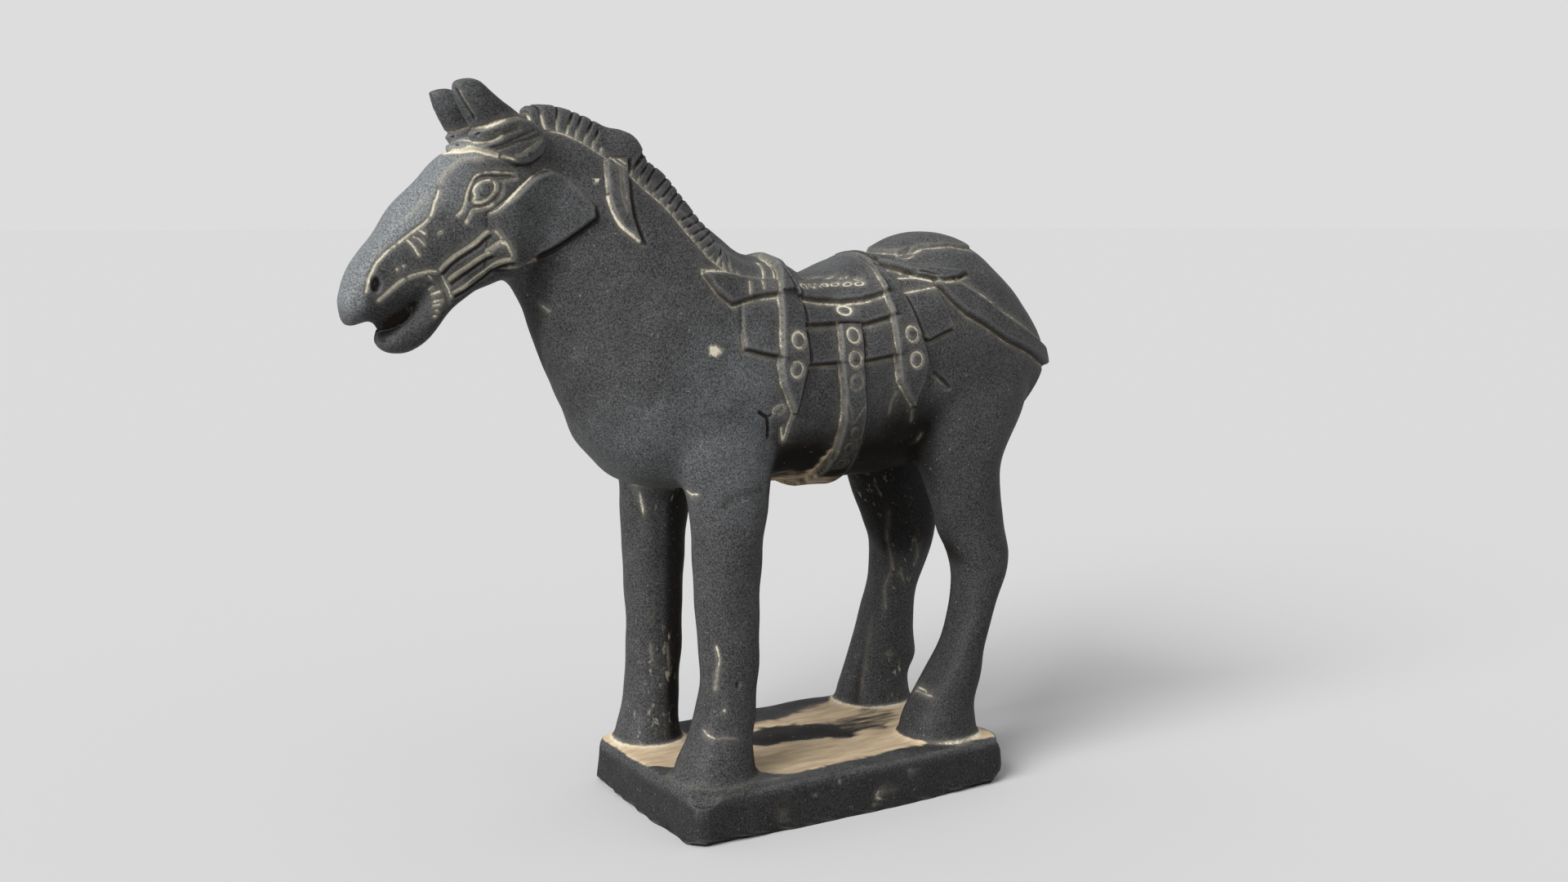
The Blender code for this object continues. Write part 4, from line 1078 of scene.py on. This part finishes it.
# %% Pare and chip the plinth
CHIPS = (
    ((-73.2, -47.6, -16), (-0.5, -0.5, -0.7)),
    ((-67.5, -43.5, 0.2), (-0.35, -0.45, 0.82)),
    ((71, -47.5, -13.5), (0.6, -0.5, -0.62)),
    ((73, -42, -3), (0.75, -0.5, 0.43)),
    ((50, -50.3, -16.6), (0.06, -0.75, -0.66)),
    ((-40, -50.3, -17.6), (-0.04, -0.7, -0.7)),
    ((-74.6, 10, -17.4), (-0.7, 0.05, -0.7)),
)
RAGGED_LENGTHS, RAGGED_HIGH = (2.7, 5.3, 7.9, 12.1, 17.3, 23.9), 0.11
FOOT_TOP, FOOT_FADES, FOOT_LOSS = -12, 6, 0.25
PLINTH_REACHES = 3

low = np.flatnonzero(carved[:, 2] < PLINTH_REACHES)
ragged = waves(carved[low], RAGGED_LENGTHS, RAGGED_HIGH)
for through, facing in CHIPS:
    facing = np.array(facing) / np.linalg.norm(facing)
    beyond = (carved[low] - np.array(through)) @ facing + ragged
    carved[low] -= np.maximum(beyond, 0)[:, None] * facing
foot_share = eased((FOOT_TOP - carved[low, 2]) / FOOT_FADES)
sideways = carving.normals[low] * (1, 1, 0)
carved[low] -= sideways * (foot_share * (FOOT_LOSS + ragged))[:, None]
print("the plinth is pared in", len(CHIPS), "places")

# %% Pits and scratches in the plinth's long side
PIT_SIZE, PIT_DEEP = 0.8, 0.6
PITS = ((-10.3, -49, -3.5), (-21.9, -49.4, -6.8), (6.7, -49.8, -12), (5.3, -50, -15.6), (22.9, -49.3, -4.9))
for pit in PITS:
    spot(pit, PIT_SIZE, cream=0.35)
    away = np.linalg.norm(carved[low] - np.array(pit), axis=1)
    carved[low] -= sideways * (PIT_DEEP * eased(1.4 - away))[:, None]
PLINTH_MARKS = (
    (0.35, (-37.7, -49.6, -3.9), (-36.9, -49.9, -9), (-36.3, -50, -13.7)),
    (0.55, (-37.5, -50, -13), (-35, -50, -14.5)),
    (0.6, (8.6, -49.6, -10), (6.6, -49.8, -12.5), (9, -50, -14.8)),
    (0.45, (-69.5, -44.8, -0.8), (-71.2, -45.9, -8.2), (-72.2, -45.9, -14.5)),
    (0.4, (-73.8, 9, -2), (-74, 9.5, -8)),
    (0.3, (-45.5, -41.5, 0), (-38, -42, 0), (-31, -42.5, 0)),
)
for dusty, *path in PLINTH_MARKS:
    groove(filled_in(path), wide=0.8, deep=0.0, cream=dusty, both=False)
print("pits:", len(PITS))

# %% [markdown]
# ## Dust, soil and slate, and painted light and shade
# Beside the drawn lines, dust also lies where nobody wipes: tan soil on the plinth's top, a crust where
# the hooves meet the plinth, and flaky streaks inside the far legs. The belly's underside is tan. The
# forehead and muzzle are a paler slate, where the smoke burnt off, and what faces up is painted a little
# paler as light. Shade is painted darker under the body, between the legs and in the mouth. Each mask is
# a product of soft ramps, given by a place and a length in millimetres, and the material breaks the masks
# up.

# %% Soft ramps and where the skin is now
x, y, z = carved.T
facing_up = carving.normals[:, 2]
EVERYWHERE = slice(None)


def rising(value, start, over):
    """0 up to the start, then a ramp so long up to 1."""
    return eased((value - start) / over)


def falling(value, end, over):
    """1 at first, then a ramp so long down to 0 at the end."""
    return eased((end - value) / over)


def behind_border(border):
    """How far behind the border each point lies, as seen from the near side."""
    border_x, border_y = np.array(border, dtype=float).T
    return y - np.interp(x, border_x, border_y)


print("points that face up:", int((facing_up > 0.5).sum()))

# %% Soil on the plinth's top, bare under the belly and along its far side
NEAR_RIM = ((-74, -5), (-68, -5), (-66, -7), (-62, -11), (-50, -30), (-39, -34.5), (-28, -39), (8, -39.5))
NEAR_RIM += ((21, -36.8), (31, -37), (43, -41), (60, -44.7), (70, -44.5))
UNDER_BELLY_NEAR = ((-27, 6), (-23, 0), (-18, -4.7), (-3, -5.4), (8, -8), (16, -14), (19, -15), (24, -10))
UNDER_BELLY_NEAR += ((33, -9), (39, -11), (50, -1))
UNDER_BELLY_FAR = ((-27, 6), (-16, 11), (-8, 16), (3, 14), (14, 8.5), (27, 10.5), (39, 11), (50, 1))
BARE_FAR = ((-62, 48), (-47, 30), (-37, 24), (3, 22.5), (17, 28), (26, 32.5), (38, 34), (47, 44), (70, 50))
SOIL_BARED = 0.95

to_sides = np.minimum(x - PLINTH_LOW[0], PLINTH_FAR[0] - x), np.minimum(y - PLINTH_LOW[1], PLINTH_FAR[1] - y)
to_rim = np.minimum(*to_sides)
on_top = rising(facing_up, 0.6, 0.3) * falling(abs(z), 2.5, 1) * rising(to_rim, 2, 3)
on_top *= eased(behind_border(NEAR_RIM) / 3 + 0.5)
under_belly = eased(np.minimum(behind_border(UNDER_BELLY_NEAR), -behind_border(UNDER_BELLY_FAR)) / 2.5 + 0.7)
under_belly *= 1 - 0.4 * rising(x, 17, 6)
far_strip = eased(behind_border(BARE_FAR) / 5 + 0.5)
half_bare = 0.3 * eased(behind_border(BARE_FAR) / 5 + 2.2) * rising(x, 5, 8) * falling(x, 50, 8)
streaky = 0.5 * eased(1.6 - 1.2 * np.hypot((x - 45) / 12, (y - 6) / 11))
bare = np.max([under_belly, far_strip, half_bare, streaky], axis=0)
carving.most("soil", EVERYWHERE, on_top * (1 - SOIL_BARED * bare))
print("soil lies on", int((carving.soil > 0.5).sum()), "points")

# %% Dust in the corner round each hoof, and a tan band under the belly
NEAR_FRONT_DUST, OTHER_HOOF_DUST = 0.12, 0.72
CORNER_HIGH = 0.9
BELLY_TAN = 0.55

at_hoof = eased(1 - abs(z - CORNER_HIGH) / 1.5) * falling(facing_up, 0.97, 0.1) * rising(to_rim, 2, 2)
at_hoof *= np.where((x < 0) & (y < 0), NEAR_FRONT_DUST, OTHER_HOOF_DUST)
at_hoof *= np.where((x > 0) & (y < 0), 0.35 + 0.65 * rising(x, 38, 8), 1)
carving.most("cream", EVERYWHERE, at_hoof)
under = rising(-facing_up, 0.72, 0.2) * rising(z, 95, 8) * falling(z, 130, 10)
carving.most("soil", EVERYWHERE, BELLY_TAN * under * falling(x, 12, 6) * rising(x, -60, 20))
print("dust on", int((carving.cream > 0.5).sum()), "points")

# %% Slate on the forehead and the muzzle; painted light on what faces up, and partly on the chest and the shoulder
SLATE_ABOVE = ((-181, 150), (-180, 189), (-177.7, 196.5), (-174.8, 201), (-169, 206.2), (-162.4, 211.3))
SLATE_ABOVE += ((-157.8, 215.2), (-155.7, 220.3), (-153.7, 225.6), (-149, 231.5), (-144, 235), (-136, 236))
PAINTED_TOP_LIGHT = 0.12
# The first two patches, on the shoulder and the chest, are partly painted light and partly slate.
PALER = (
    ((-50, 140), (24, 38), 0.36),
    ((-78, 128), (24, 26), 0.25),
    ((-118, 216), (18, 14), 0.15),
    ((-149, 226), (9, 11), 0.42),
)

line_x, line_z = np.array(SLATE_ABOVE, dtype=float).T
above_line = eased((z - np.interp(x, line_x, line_z)) / 2.5 + 0.5)
# On the head, what faces up also gets a little painted light.
nose = falling(x, -135, 8) * np.maximum(above_line, 0.1 * rising(facing_up, -0.3, 0.5))
nose *= (1 - 0.65 * rising(z, 240, 4)) * (1 - 0.7 * falling(z, 187, 7))
under_lip = falling(z, 180.5 + 0.457 * (x + 180), 1.5) * (x > -179) * (x < -140)
carving.most("slate", EVERYWHERE, nose * (1 - under_lip))
# Painted light: what faces up, high on the figure, is a little paler.
carving.most("slate", EVERYWHERE, PAINTED_TOP_LIGHT * rising(facing_up, 0.25, 0.6) * rising(z, 120, 40))
for (middle_x, middle_z), (long, high), share in PALER:
    away = np.hypot((x - middle_x) / long, (z - middle_z) / high)
    carving.most("slate", EVERYWHERE, share * eased(1.4 - away))
print("slate on", int((carving.slate > 0.5).sum()), "points")

# %% A flaky crust inside the far legs, and a little of it low down all round
FLAKES = ((-56, 19, 26), (-59, 19, 12), (-53, 18, 38), (-53, 17, 100), (64, 16, 64), (58, 17, 12),
    (50, 22, 96))
FLAKES_WIDE, FLAKES_TALLER = 9, 1.5
INNER_CRUST, LOW_CRUST = 0.42, 0.2

inner = rising(carving.normals[:, 1] * -np.sign(y), 0.1, 0.5) * falling(z, 118, 12) * (z > 1)
flaky = INNER_CRUST * inner
for place_x, place_y, place_z in FLAKES:
    away = np.sqrt((x - place_x) ** 2 + (y - place_y) ** 2 + ((z - place_z) / FLAKES_TALLER) ** 2)
    flaky = np.maximum(flaky, eased(1.5 - away / FLAKES_WIDE))
carving.most("crust", EVERYWHERE, flaky * (y > 0))
carving.most("crust", EVERYWHERE, LOW_CRUST * falling(z, 30, 20) * (z > 1))
print("crust on", int((carving.crust > 0.5).sum()), "points")

# %% [markdown]
# Shade is painted darker under the body, on the rear flank and on all that faces back, between the legs,
# on the front of the neck, under the lip, on the near hind leg and low on the near legs, and in the mouth.
# The plinth's sides are darker clay than the flanks. The plinth's top under the belly and along its far
# side, and the ears high up, are darker too. Each of these places is a mask of its own, and the darkest
# one counts.

# %% Painted shade under the body and low down, and darker clay on the plinth's sides
BARREL_OVER = 100
HIND_EDGE = ((3, 22, 40, 60, 70), (44, 49, 54, 58.2, 58.2))
THROAT_EDGE = ((150, 159, 180, 197), (8, 4, -10, -16))

on_barrel = z > BARREL_OVER
backward = carving.normals[:, 0]
below = rising(-facing_up, 0.05, 0.6) * rising(z, 1, 6) * (1 - 0.95 * falling(x, -38, 10) * on_barrel)
rear_flank = 0.9 * rising(x, 6, 20) * falling(x, 54, 14) * falling(z, 152, 20) * on_barrel
sides = 0.55 * (z < 0) * falling(facing_up, 0.5, 0.4)
near_leg = 0.25 * falling(z, 135, 25) * (x > 0) + 0.15 * falling(z, 70, 30) * (1 - 0.8 * falling(z, 18, 10))
near_leg *= (z > 0) * (y < 0)
far_hind = 0.1 + 0.6 * np.maximum(rising(z, 67, 3), eased((np.interp(z, *HIND_EDGE) - x) / 2 + 0.5))
far_front = 0.1 * rising(x, -62, 3) + 0.7 * rising(x, -53, 3)
between = inner * np.where(y > 0, np.where(x < 0, far_front, far_hind), 0.6)
rearward = 0.75 * rising(backward, 0.55, 0.35) * (z > 1)
throat = 0.6 * eased((y - np.interp(z, *THROAT_EDGE)) / 3 + 0.5) * rising(-backward, 0.05, 0.3)
throat *= rising(z, 146, 10) * falling(z, 206, 6) * falling(x, -90, 6) * rising(x, -122, 4)
lip = 0.15 * under_lip
ears = 0.25 * rising(z, 243, 4) * (x < -128)
plinth_top = on_top * np.maximum(0.85 * under_belly, 0.5 * far_strip)
# All but the plinth's sides, its top and the ears are painted shade.
for darker in (below, rear_flank, sides, near_leg, between, rearward, throat, lip, ears, plinth_top):
    carving.most("soot", EVERYWHERE, darker)
# The mouth's inside is painted dark as shade.
in_mouth = (x < -150) & (x > -174) & (z > 172) & (z < 194) & (abs(y) < 6.5) & (facing_up > -0.2)
carving.most("soot", in_mouth, 1)
carving.slate *= 1 - np.clip(carving.soot, 0, 1)
print("soot on", int((carving.soot > 0.5).sum()), "points")

# %% [markdown]
# The hollows are painted dark as shade, and the edges paler, as a painted highlight and as rubbing. How
# far a point stands out from a smoothed copy of the skin tells an edge from a hollow, so this follows all
# of the carving, the chips and the lumps without a list of places.

# %% Find the edges and the hollows
EDGE_ROUNDS, EDGE_STANDS = 14, 0.11

mesh = carving.holder.data
mesh.vertices.foreach_set("co", (carved * MM).astype(np.float32).ravel())
smoothed = modified(mesh.copy(), "SMOOTH", factor=0.5, iterations=EDGE_ROUNDS)
stands_out = ((carved - carving.read(smoothed, "co") / MM) * carving.normals).sum(1)
bpy.data.meshes.remove(smoothed)
carving.worn = np.clip(stands_out / EDGE_STANDS, -1, 1)
print("edges:", int((carving.worn > 0.5).sum()), "points, hollows:", int((carving.worn < -0.5).sum()))

# %% [markdown]
# ## Thinning and the flat underside
# Three quarters of a million points are needed while carving and far fewer to show it. Decimation
# drops them where the skin is plain, and a vertex group spares those on the drawn lines and the edges.
# A plane then cuts the plinth off flat.

# %% Note the masks on the mesh, thin it and cut it
TRIANGLES_KEPT = 196000
POINTS_SPARED = 62000
EDGES_COUNT, CUTS_COUNT = 0.5, 0.2
FAR_SIDE_FROM, FAR_SIDE_COUNTS = 8, 0.5

for what in MASKS:
    layer = mesh.attributes.new(what, "FLOAT", "POINT")
    layer.data.foreach_set("value", np.clip(getattr(carving, what), -1, 1.3).astype(np.float32))
bpy.data.objects.remove(carving.holder)
mesh = modified(mesh, "SMOOTH", factor=0.5, iterations=2)
detail = np.maximum(np.minimum(carving.cream, 1), EDGES_COUNT * abs(carving.worn))
detail += CUTS_COUNT * np.minimum(carving.cut, 1)
detail *= np.where((carving.z < -1) | (carving.points[:, 1] > FAR_SIDE_FROM), FAR_SIDE_COUNTS, 1)
plain = np.argsort(detail)[:-POINTS_SPARED]
share = TRIANGLES_KEPT / (2 * len(mesh.polygons))
mesh = modified(mesh, "DECIMATE", only=plain.tolist(), ratio=share)
bm = bmesh.new()
bm.from_mesh(mesh)
bpy.data.meshes.remove(mesh)
bmesh.ops.translate(bm, vec=(0, 0, PLINTH_HIGH * MM), verts=bm.verts)
everything = bm.verts[:] + bm.edges[:] + bm.faces[:]
cut = bmesh.ops.bisect_plane(bm, geom=everything, plane_co=(0, 0, 0), plane_no=(0, 0, -1), clear_outer=True)
rim = [item for item in cut["geom_cut"] if isinstance(item, bmesh.types.BMEdge)]
bmesh.ops.contextual_create(bm, geom=rim)
bmesh.ops.triangulate(bm, faces=[face for face in bm.faces if len(face.verts) > 4])
bmesh.ops.recalc_face_normals(bm, faces=bm.faces)
print("the horse has", sum(len(face.verts) - 2 for face in bm.faces), "triangles")

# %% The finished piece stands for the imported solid
shown = bpy.data.meshes.new("clay_horse")
bm.to_mesh(shown)
bm.free()
shown.shade_smooth()
shown.set_sharp_from_angle(angle=math.radians(60))
horse = bpy.data.objects.new("clay_horse", shown)
bpy.context.scene.collection.objects.link(horse)
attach(horse, "root")
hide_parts("terracotta_horse")
print(horse.name, "has", len(shown.vertices), "points")

# %% [markdown]
# ## The fired clay
# Smoke-fired earthenware is matt and fine-grained. Its black comes from carbon all through, so an
# edge that is rubbed shows grey and not red, and only the grain of the clay and the dust break it up.

# %% Colours and a way to add nodes
material = bpy.data.materials.new("smoke_fired_earthenware")
material.use_nodes = True
tree = material.node_tree
shader = tree.nodes["Principled BSDF"]


def srgb(code):
    """A hex colour as the linear values that Blender mixes."""
    parts = [int(code[i : i + 2], 16) / 255 for i in (1, 3, 5)]
    return [part / 12.92 if part <= 0.04045 else ((part + 0.055) / 1.055) ** 2.4 for part in parts] + [1]


def add(kind, inputs=None, **settings):
    """One node of the clay's, with its settings and its inputs as values or as (node, output) links."""
    node = tree.nodes.new("ShaderNode" + kind)
    for name, value in settings.items():
        setattr(node, name, value)
    for name, value in (inputs or {}).items():
        if isinstance(value, tuple) and isinstance(value[0], bpy.types.Node):
            tree.links.new(value[0].outputs[value[1]], node.inputs[name])
        else:
            node.inputs[name].default_value = value
    return node


print("a mid grey is", round(srgb("#808080")[0], 3), "in linear light")

# %% The clay's own colour: charcoal with a fine grain
# The real grain is near 0.2 mm, which is too fine to show, so it is drawn as coarse as this.
GRAIN_MM = 0.65
CLOUD_MM = 24
ROUGHNESS = 0.62

here = (add("TexCoord"), "Object")
grain = add("TexNoise", {"Vector": here, "Scale": 1000 / GRAIN_MM, "Detail": 2, "Roughness": 0.7})
cloud = add("TexNoise", {"Vector": here, "Scale": 1000 / CLOUD_MM, "Detail": 6, "Roughness": ROUGHNESS})
fleck = add("MapRange", {"Value": (grain, "Fac"), "From Min": 0.36, "From Max": 0.66})
patchy = add("MapRange", {"Value": (cloud, "Fac"), "From Min": 0.35, "From Max": 0.68})
dark = add("Mix", {0: (patchy, 0), 6: srgb("#171615"), 7: srgb("#212121")}, data_type="RGBA")
charcoal = add("Mix", {0: (fleck, 0), 6: (dark, 2), 7: srgb("#464647")}, data_type="RGBA")
print("grain", GRAIN_MM, "mm and clouds", CLOUD_MM, "mm")

# %% [markdown]
# Part of the clay burnt paler. A slate grey shows on the forehead and the muzzle. The same grey is
# painted light, faint on all that faces up, and partly on the chest and the shoulder. The mask comes
# from the mesh, and two noises are added to it before a ramp, so that its edge wanders. The other masks
# are broken up in the same way.

# %% Slate where the smoke burnt off, and painted light
BLOTCH_MM = 6.5

slate = add("Attribute", attribute_name="slate")
blotch = add("TexNoise", {"Vector": here, "Scale": 1000 / BLOTCH_MM, "Detail": 5, "Roughness": ROUGHNESS})
blotched = add("Math", {0: (blotch, "Fac"), 1: 0.5, 2: (slate, "Fac")}, operation="MULTIPLY_ADD")
slate_and_light_edge = add("Math", {0: (cloud, "Fac"), 1: 0.4, 2: (blotched, 0)}, operation="MULTIPLY_ADD")
slate_and_light_mask = add("MapRange", {"Value": (slate_and_light_edge, 0), "From Min": 0.45, "From Max": 1.55, "To Max": 0.95})
burnt = add("Mix", {0: (fleck, 0), 6: srgb("#424546"), 7: srgb("#7b7f81")}, data_type="RGBA")
body = add("Mix", {0: (slate_and_light_mask, 0), 6: (charcoal, 2), 7: (burnt, 2)}, data_type="RGBA")
print("blotches", BLOTCH_MM, "mm")

# %% [markdown]
# Shade is painted under the belly, between the legs, in the mouth, along the tack's edges and in the
# grooves, and the plinth's sides are darker clay. The mask holds both, and there the paler colour gives
# way to a warm black.

# %% A warm black for the painted shade and the darker clay
soot = add("Attribute", attribute_name="soot")
shade_and_soot_edge = add("Math", {0: (cloud, "Fac"), 1: 0.4, 2: (soot, "Fac")}, operation="MULTIPLY_ADD")
shade_and_soot_mask = add("MapRange", {"Value": (shade_and_soot_edge, 0), "From Min": 0.25, "From Max": 1.1, "To Max": 0.97})
shaded_and_sooty = add("Mix", {0: (shade_and_soot_mask, 0), 6: (body, 2), 7: srgb("#100d0b")}, data_type="RGBA")
print("soot shows up to", shade_and_soot_mask.inputs["To Max"].default_value)

# %% [markdown]
# The hollows are painted darker as shade, and the edges a little paler, as a painted highlight and as
# rubbing. The mesh says which is which, with values under 0 in a hollow and over 0 on an edge.

# %% Painted shade in the hollows, and edges paler as painted highlight and rubbing
worn = add("Attribute", attribute_name="worn")
lit_and_rubbed = add("MapRange", {"Value": (worn, "Fac"), "From Min": 0.3, "To Max": 0.3})
hollow = add("MapRange", {"Value": (worn, "Fac"), "From Min": -0.15, "From Max": -0.8, "To Max": 0.72})
shaded_hollows = add("Mix", {0: (hollow, 0), 6: (shaded_and_sooty, 2), 7: srgb("#1b1612")}, data_type="RGBA")
edged = add("Mix", {0: (lit_and_rubbed, 0), 6: (shaded_hollows, 2), 7: srgb("#5c5d5c")}, data_type="RGBA")
print(len(tree.nodes), "nodes before the dust")

# %% [markdown]
# ## Dust and soil
# Cream dust fills the drawn lines. It is powder and much of it has been rubbed away, so two noises
# are added to its mask before a ramp: a fine one crumbles its edge and a coarser one breaks the line.
# Tan soil lies on the plinth in streaks, drawn out along it by a Mapping node that shortens one axis.

# %% Cream dust in the lines
CRUMB_MM = 0.7
GAP_MM = 4.5

crumb = add("TexNoise", {"Vector": here, "Scale": 1000 / CRUMB_MM, "Detail": 4, "Roughness": ROUGHNESS})
gaps = add("TexNoise", {"Vector": here, "Scale": 1000 / GAP_MM, "Detail": 4, "Roughness": ROUGHNESS})
cream = add("Attribute", attribute_name="cream")
crumbled = add("Math", {0: (crumb, "Fac"), 1: 0.7, 2: (cream, "Fac")}, operation="MULTIPLY_ADD")
cream_edge = add("Math", {0: (gaps, "Fac"), 1: 1.1, 2: (crumbled, 0)}, operation="MULTIPLY_ADD")
cream_mask = add(
    "MapRange",
    {"Value": (cream_edge, 0), "From Min": 1.2, "From Max": 1.8, "To Max": 0.95},
    interpolation_type="SMOOTHSTEP",
)
hazy = add("Math", {0: (cream, "Fac"), 1: (gaps, "Fac")}, operation="MULTIPLY")
haze_mask = add("MapRange", {"Value": (hazy, 0), "From Max": 0.5, "To Max": 0.5})
all_cream = add("Math", {0: (cream_mask, 0), 1: (haze_mask, 0)}, operation="MAXIMUM")
cream_look = add("Mix", {0: (crumb, "Fac"), 6: srgb("#827c6d"), 7: srgb("#dcd5c0")}, data_type="RGBA")
print("crumbs", CRUMB_MM, "mm and gaps", GAP_MM, "mm")

# %% Streaky tan soil
STREAK_MM = 5
STREAKS_ALONG = {"Vector": here, "Rotation": (0, 0, 0.2), "Scale": (0.3, 1.4, 1)}

along = (add("Mapping", STREAKS_ALONG), "Vector")
streak = add("TexNoise", {"Vector": along, "Scale": 1000 / STREAK_MM, "Detail": 6, "Roughness": ROUGHNESS})
soil = add("Attribute", attribute_name="soil")
soil_edge = add("Math", {0: (streak, "Fac"), 1: 0.9, 2: (soil, "Fac")}, operation="MULTIPLY_ADD")
soil_mask = add(
    "MapRange",
    {"Value": (soil_edge, 0), "From Min": 0.75, "From Max": 1.2, "To Max": 0.95},
    interpolation_type="SMOOTHSTEP",
)
soil_look = add("Mix", {0: (streak, "Fac"), 6: srgb("#6a5b49"), 7: srgb("#d2bd9d")}, data_type="RGBA")
print("streaks", STREAK_MM, "mm")

# %% [markdown]
# Inside the far legs an old crust broke off and left flakes, a few millimetres across and a little
# taller than wide. All over the clay lie pale specks of grit. Both are single noises cut off high.

# %% Flakes where an old crust broke off
FLAKE_MM, BROKEN_MM = 2.6, 6

upright = (add("Mapping", {"Vector": here, "Scale": (1, 1, 0.5)}), "Vector")
flakes = add(
    "TexNoise",
    {"Vector": upright, "Scale": 1000 / FLAKE_MM, "Detail": 3, "Roughness": ROUGHNESS, "Distortion": 0.4},
)
flake = add("MapRange", {"Value": (flakes, "Fac"), "From Min": 0.59, "From Max": 0.7})
crust = add("Attribute", attribute_name="crust")
broken = add("TexNoise", {"Vector": here, "Scale": 1000 / BROKEN_MM, "Detail": 4, "Roughness": ROUGHNESS})
crust_edge = add("Math", {0: (broken, "Fac"), 1: 1.6, 2: (crust, "Fac")}, operation="MULTIPLY_ADD")
crusted = add("MapRange", {"Value": (crust_edge, 0), "From Min": 1.25, "From Max": 1.95, "To Max": 0.5})
crust_mask = add("Math", {0: (flake, 0), 1: (crusted, 0)}, operation="MULTIPLY")
print("flakes", FLAKE_MM, "mm")

# %% Pale specks of grit
# The real specks are finer. They are drawn as coarse as they need to show.
GRIT_MM = 1.6

grit = add("TexNoise", {"Vector": here, "Scale": 1000 / GRIT_MM, "Detail": 1, "Roughness": ROUGHNESS})
grit_mask = add("MapRange", {"Value": (grit, "Fac"), "From Min": 0.7, "From Max": 0.8, "To Max": 0.3})
print("specks", GRIT_MM, "mm")

# %% [markdown]
# The layers go on in the order in which the years laid them: soil, grit, crust, and dust last. The
# powders are rougher than fired clay and stand up from it by a hair.

# %% Lay one over the other
GRIT_GREY = srgb("#8b8a86")

look = edged
for mask, over in (
    (soil_mask, (soil_look, 2)),
    (grit_mask, GRIT_GREY),
    (crust_mask, (cream_look, 2)),
    (all_cream, (cream_look, 2)),
):
    look = add("Mix", {0: (mask, 0), 6: (look, 2), 7: over}, data_type="RGBA")
tree.links.new(look.outputs[2], shader.inputs["Base Color"])
powder = add("Math", {0: (cream_mask, 0), 1: (soil_mask, 0)}, operation="MAXIMUM")
matt = add("MapRange", {"Value": (powder, 0), "To Min": 0.58, "To Max": 0.95})
tree.links.new(matt.outputs["Result"], shader.inputs["Roughness"])
print("the powders are", round(matt.inputs["To Max"].default_value, 2), "rough")

# %% The grain stands out a little, and so does the dust
GRAIN_HIGH, DUST_HIGH = 0.2 * MM, 0.22 * MM

uneven = add("Bump", {"Height": (grain, "Fac"), "Strength": 0.5, "Distance": GRAIN_HIGH})
dusted = add("Bump", {"Height": (powder, 0), "Strength": 0.5, "Distance": DUST_HIGH, "Normal": (uneven, 0)})
tree.links.new(dusted.outputs["Normal"], shader.inputs["Normal"])
print("the grain stands", GRAIN_HIGH / MM, "mm high")

# %% A porous clay gives little sheen, and hardly any in the painted shade and on the darker clay
sheen = add("MapRange", {"Value": (shade_and_soot_mask, 0), "To Min": 0.17, "To Max": 0.05})
tree.links.new(sheen.outputs["Result"], shader.inputs["Specular IOR Level"])
shown.materials.append(material)
print(len(tree.nodes), "nodes make the clay's look")

# %% [markdown]
# ## Floor, light and camera
# A plain pale floor and a wide soft lamp high on the left, as in a studio. The sky is one pale tone
# and fills the shadows. The camera stands where the picture was taken: in front of the horse's left
# shoulder and a little above its back.

# %% A pale floor
FLOOR_HALF = 40.0
FLOOR_TONE = "#b0b0b0"
floor_bm = bmesh.new()
bmesh.ops.create_grid(floor_bm, x_segments=1, y_segments=1, size=FLOOR_HALF)
floor_mesh = bpy.data.meshes.new("studio_floor")
floor_bm.to_mesh(floor_mesh)
floor_bm.free()
floor_paint = bpy.data.materials.new("matt_grey_paint")
floor_paint.use_nodes = True
floor_shader = floor_paint.node_tree.nodes["Principled BSDF"]
for socket, value in (("Base Color", srgb(FLOOR_TONE)), ("Roughness", 0.95), ("Specular IOR Level", 0.0)):
    floor_shader.inputs[socket].default_value = value
floor_mesh.materials.append(floor_paint)
floor = bpy.data.objects.new("studio_floor", floor_mesh)
bpy.context.scene.collection.objects.link(floor)
print("the floor is", 2 * FLOOR_HALF, "m wide")

# %% Soft light
SKY = "#dddddd"
world = bpy.data.worlds.new("studio")
world.use_nodes = True
world.node_tree.nodes["Background"].inputs["Color"].default_value = srgb(SKY)
world.node_tree.nodes["Background"].inputs["Strength"].default_value = 1.0
bpy.context.scene.world = world
bpy.context.scene.view_settings.view_transform = "Standard"

SUN_FROM = (-0.78, -0.26, 0.57)
SUN_POWER, SUN_WIDE = 5.0, 38
sun = bpy.data.lights.new("high left softbox", "SUN")
sun.energy, sun.angle = SUN_POWER, math.radians(SUN_WIDE)
sun_holder = bpy.data.objects.new("high left softbox", sun)
sun_holder.rotation_mode = "QUATERNION"
sun_holder.rotation_quaternion = Vector(SUN_FROM).to_track_quat("Z", "Y")
bpy.context.scene.collection.objects.link(sun_holder)
print("the lamp is", SUN_WIDE, "degrees wide")

# %% The camera at the picture's angle
CAMERA_PLACE = (-0.3507, -0.5687, 0.2327)
CAMERA_TURN, CAMERA_RISE = math.radians(-31.21), math.radians(7.64)
UPRIGHT_FIELD = math.radians(30)
eye = bpy.data.cameras.new("camera")
eye.sensor_width = 36
eye.lens = eye.sensor_width * 1080 / 1920 / 2 / math.tan(UPRIGHT_FIELD / 2)
camera = bpy.data.objects.new("camera", eye)
camera.location = CAMERA_PLACE
level = Vector((math.sin(CAMERA_TURN), -math.cos(CAMERA_TURN), 0))
back = level * math.cos(CAMERA_RISE) + Vector((0, 0, math.sin(CAMERA_RISE)))
camera.rotation_mode = "QUATERNION"
camera.rotation_quaternion = (-back).to_track_quat("-Z", "Y")
eye.clip_start, eye.clip_end = 0.01, 50
bpy.context.scene.collection.objects.link(camera)
bpy.context.scene.camera = camera
print("lens", round(eye.lens, 2), "mm")
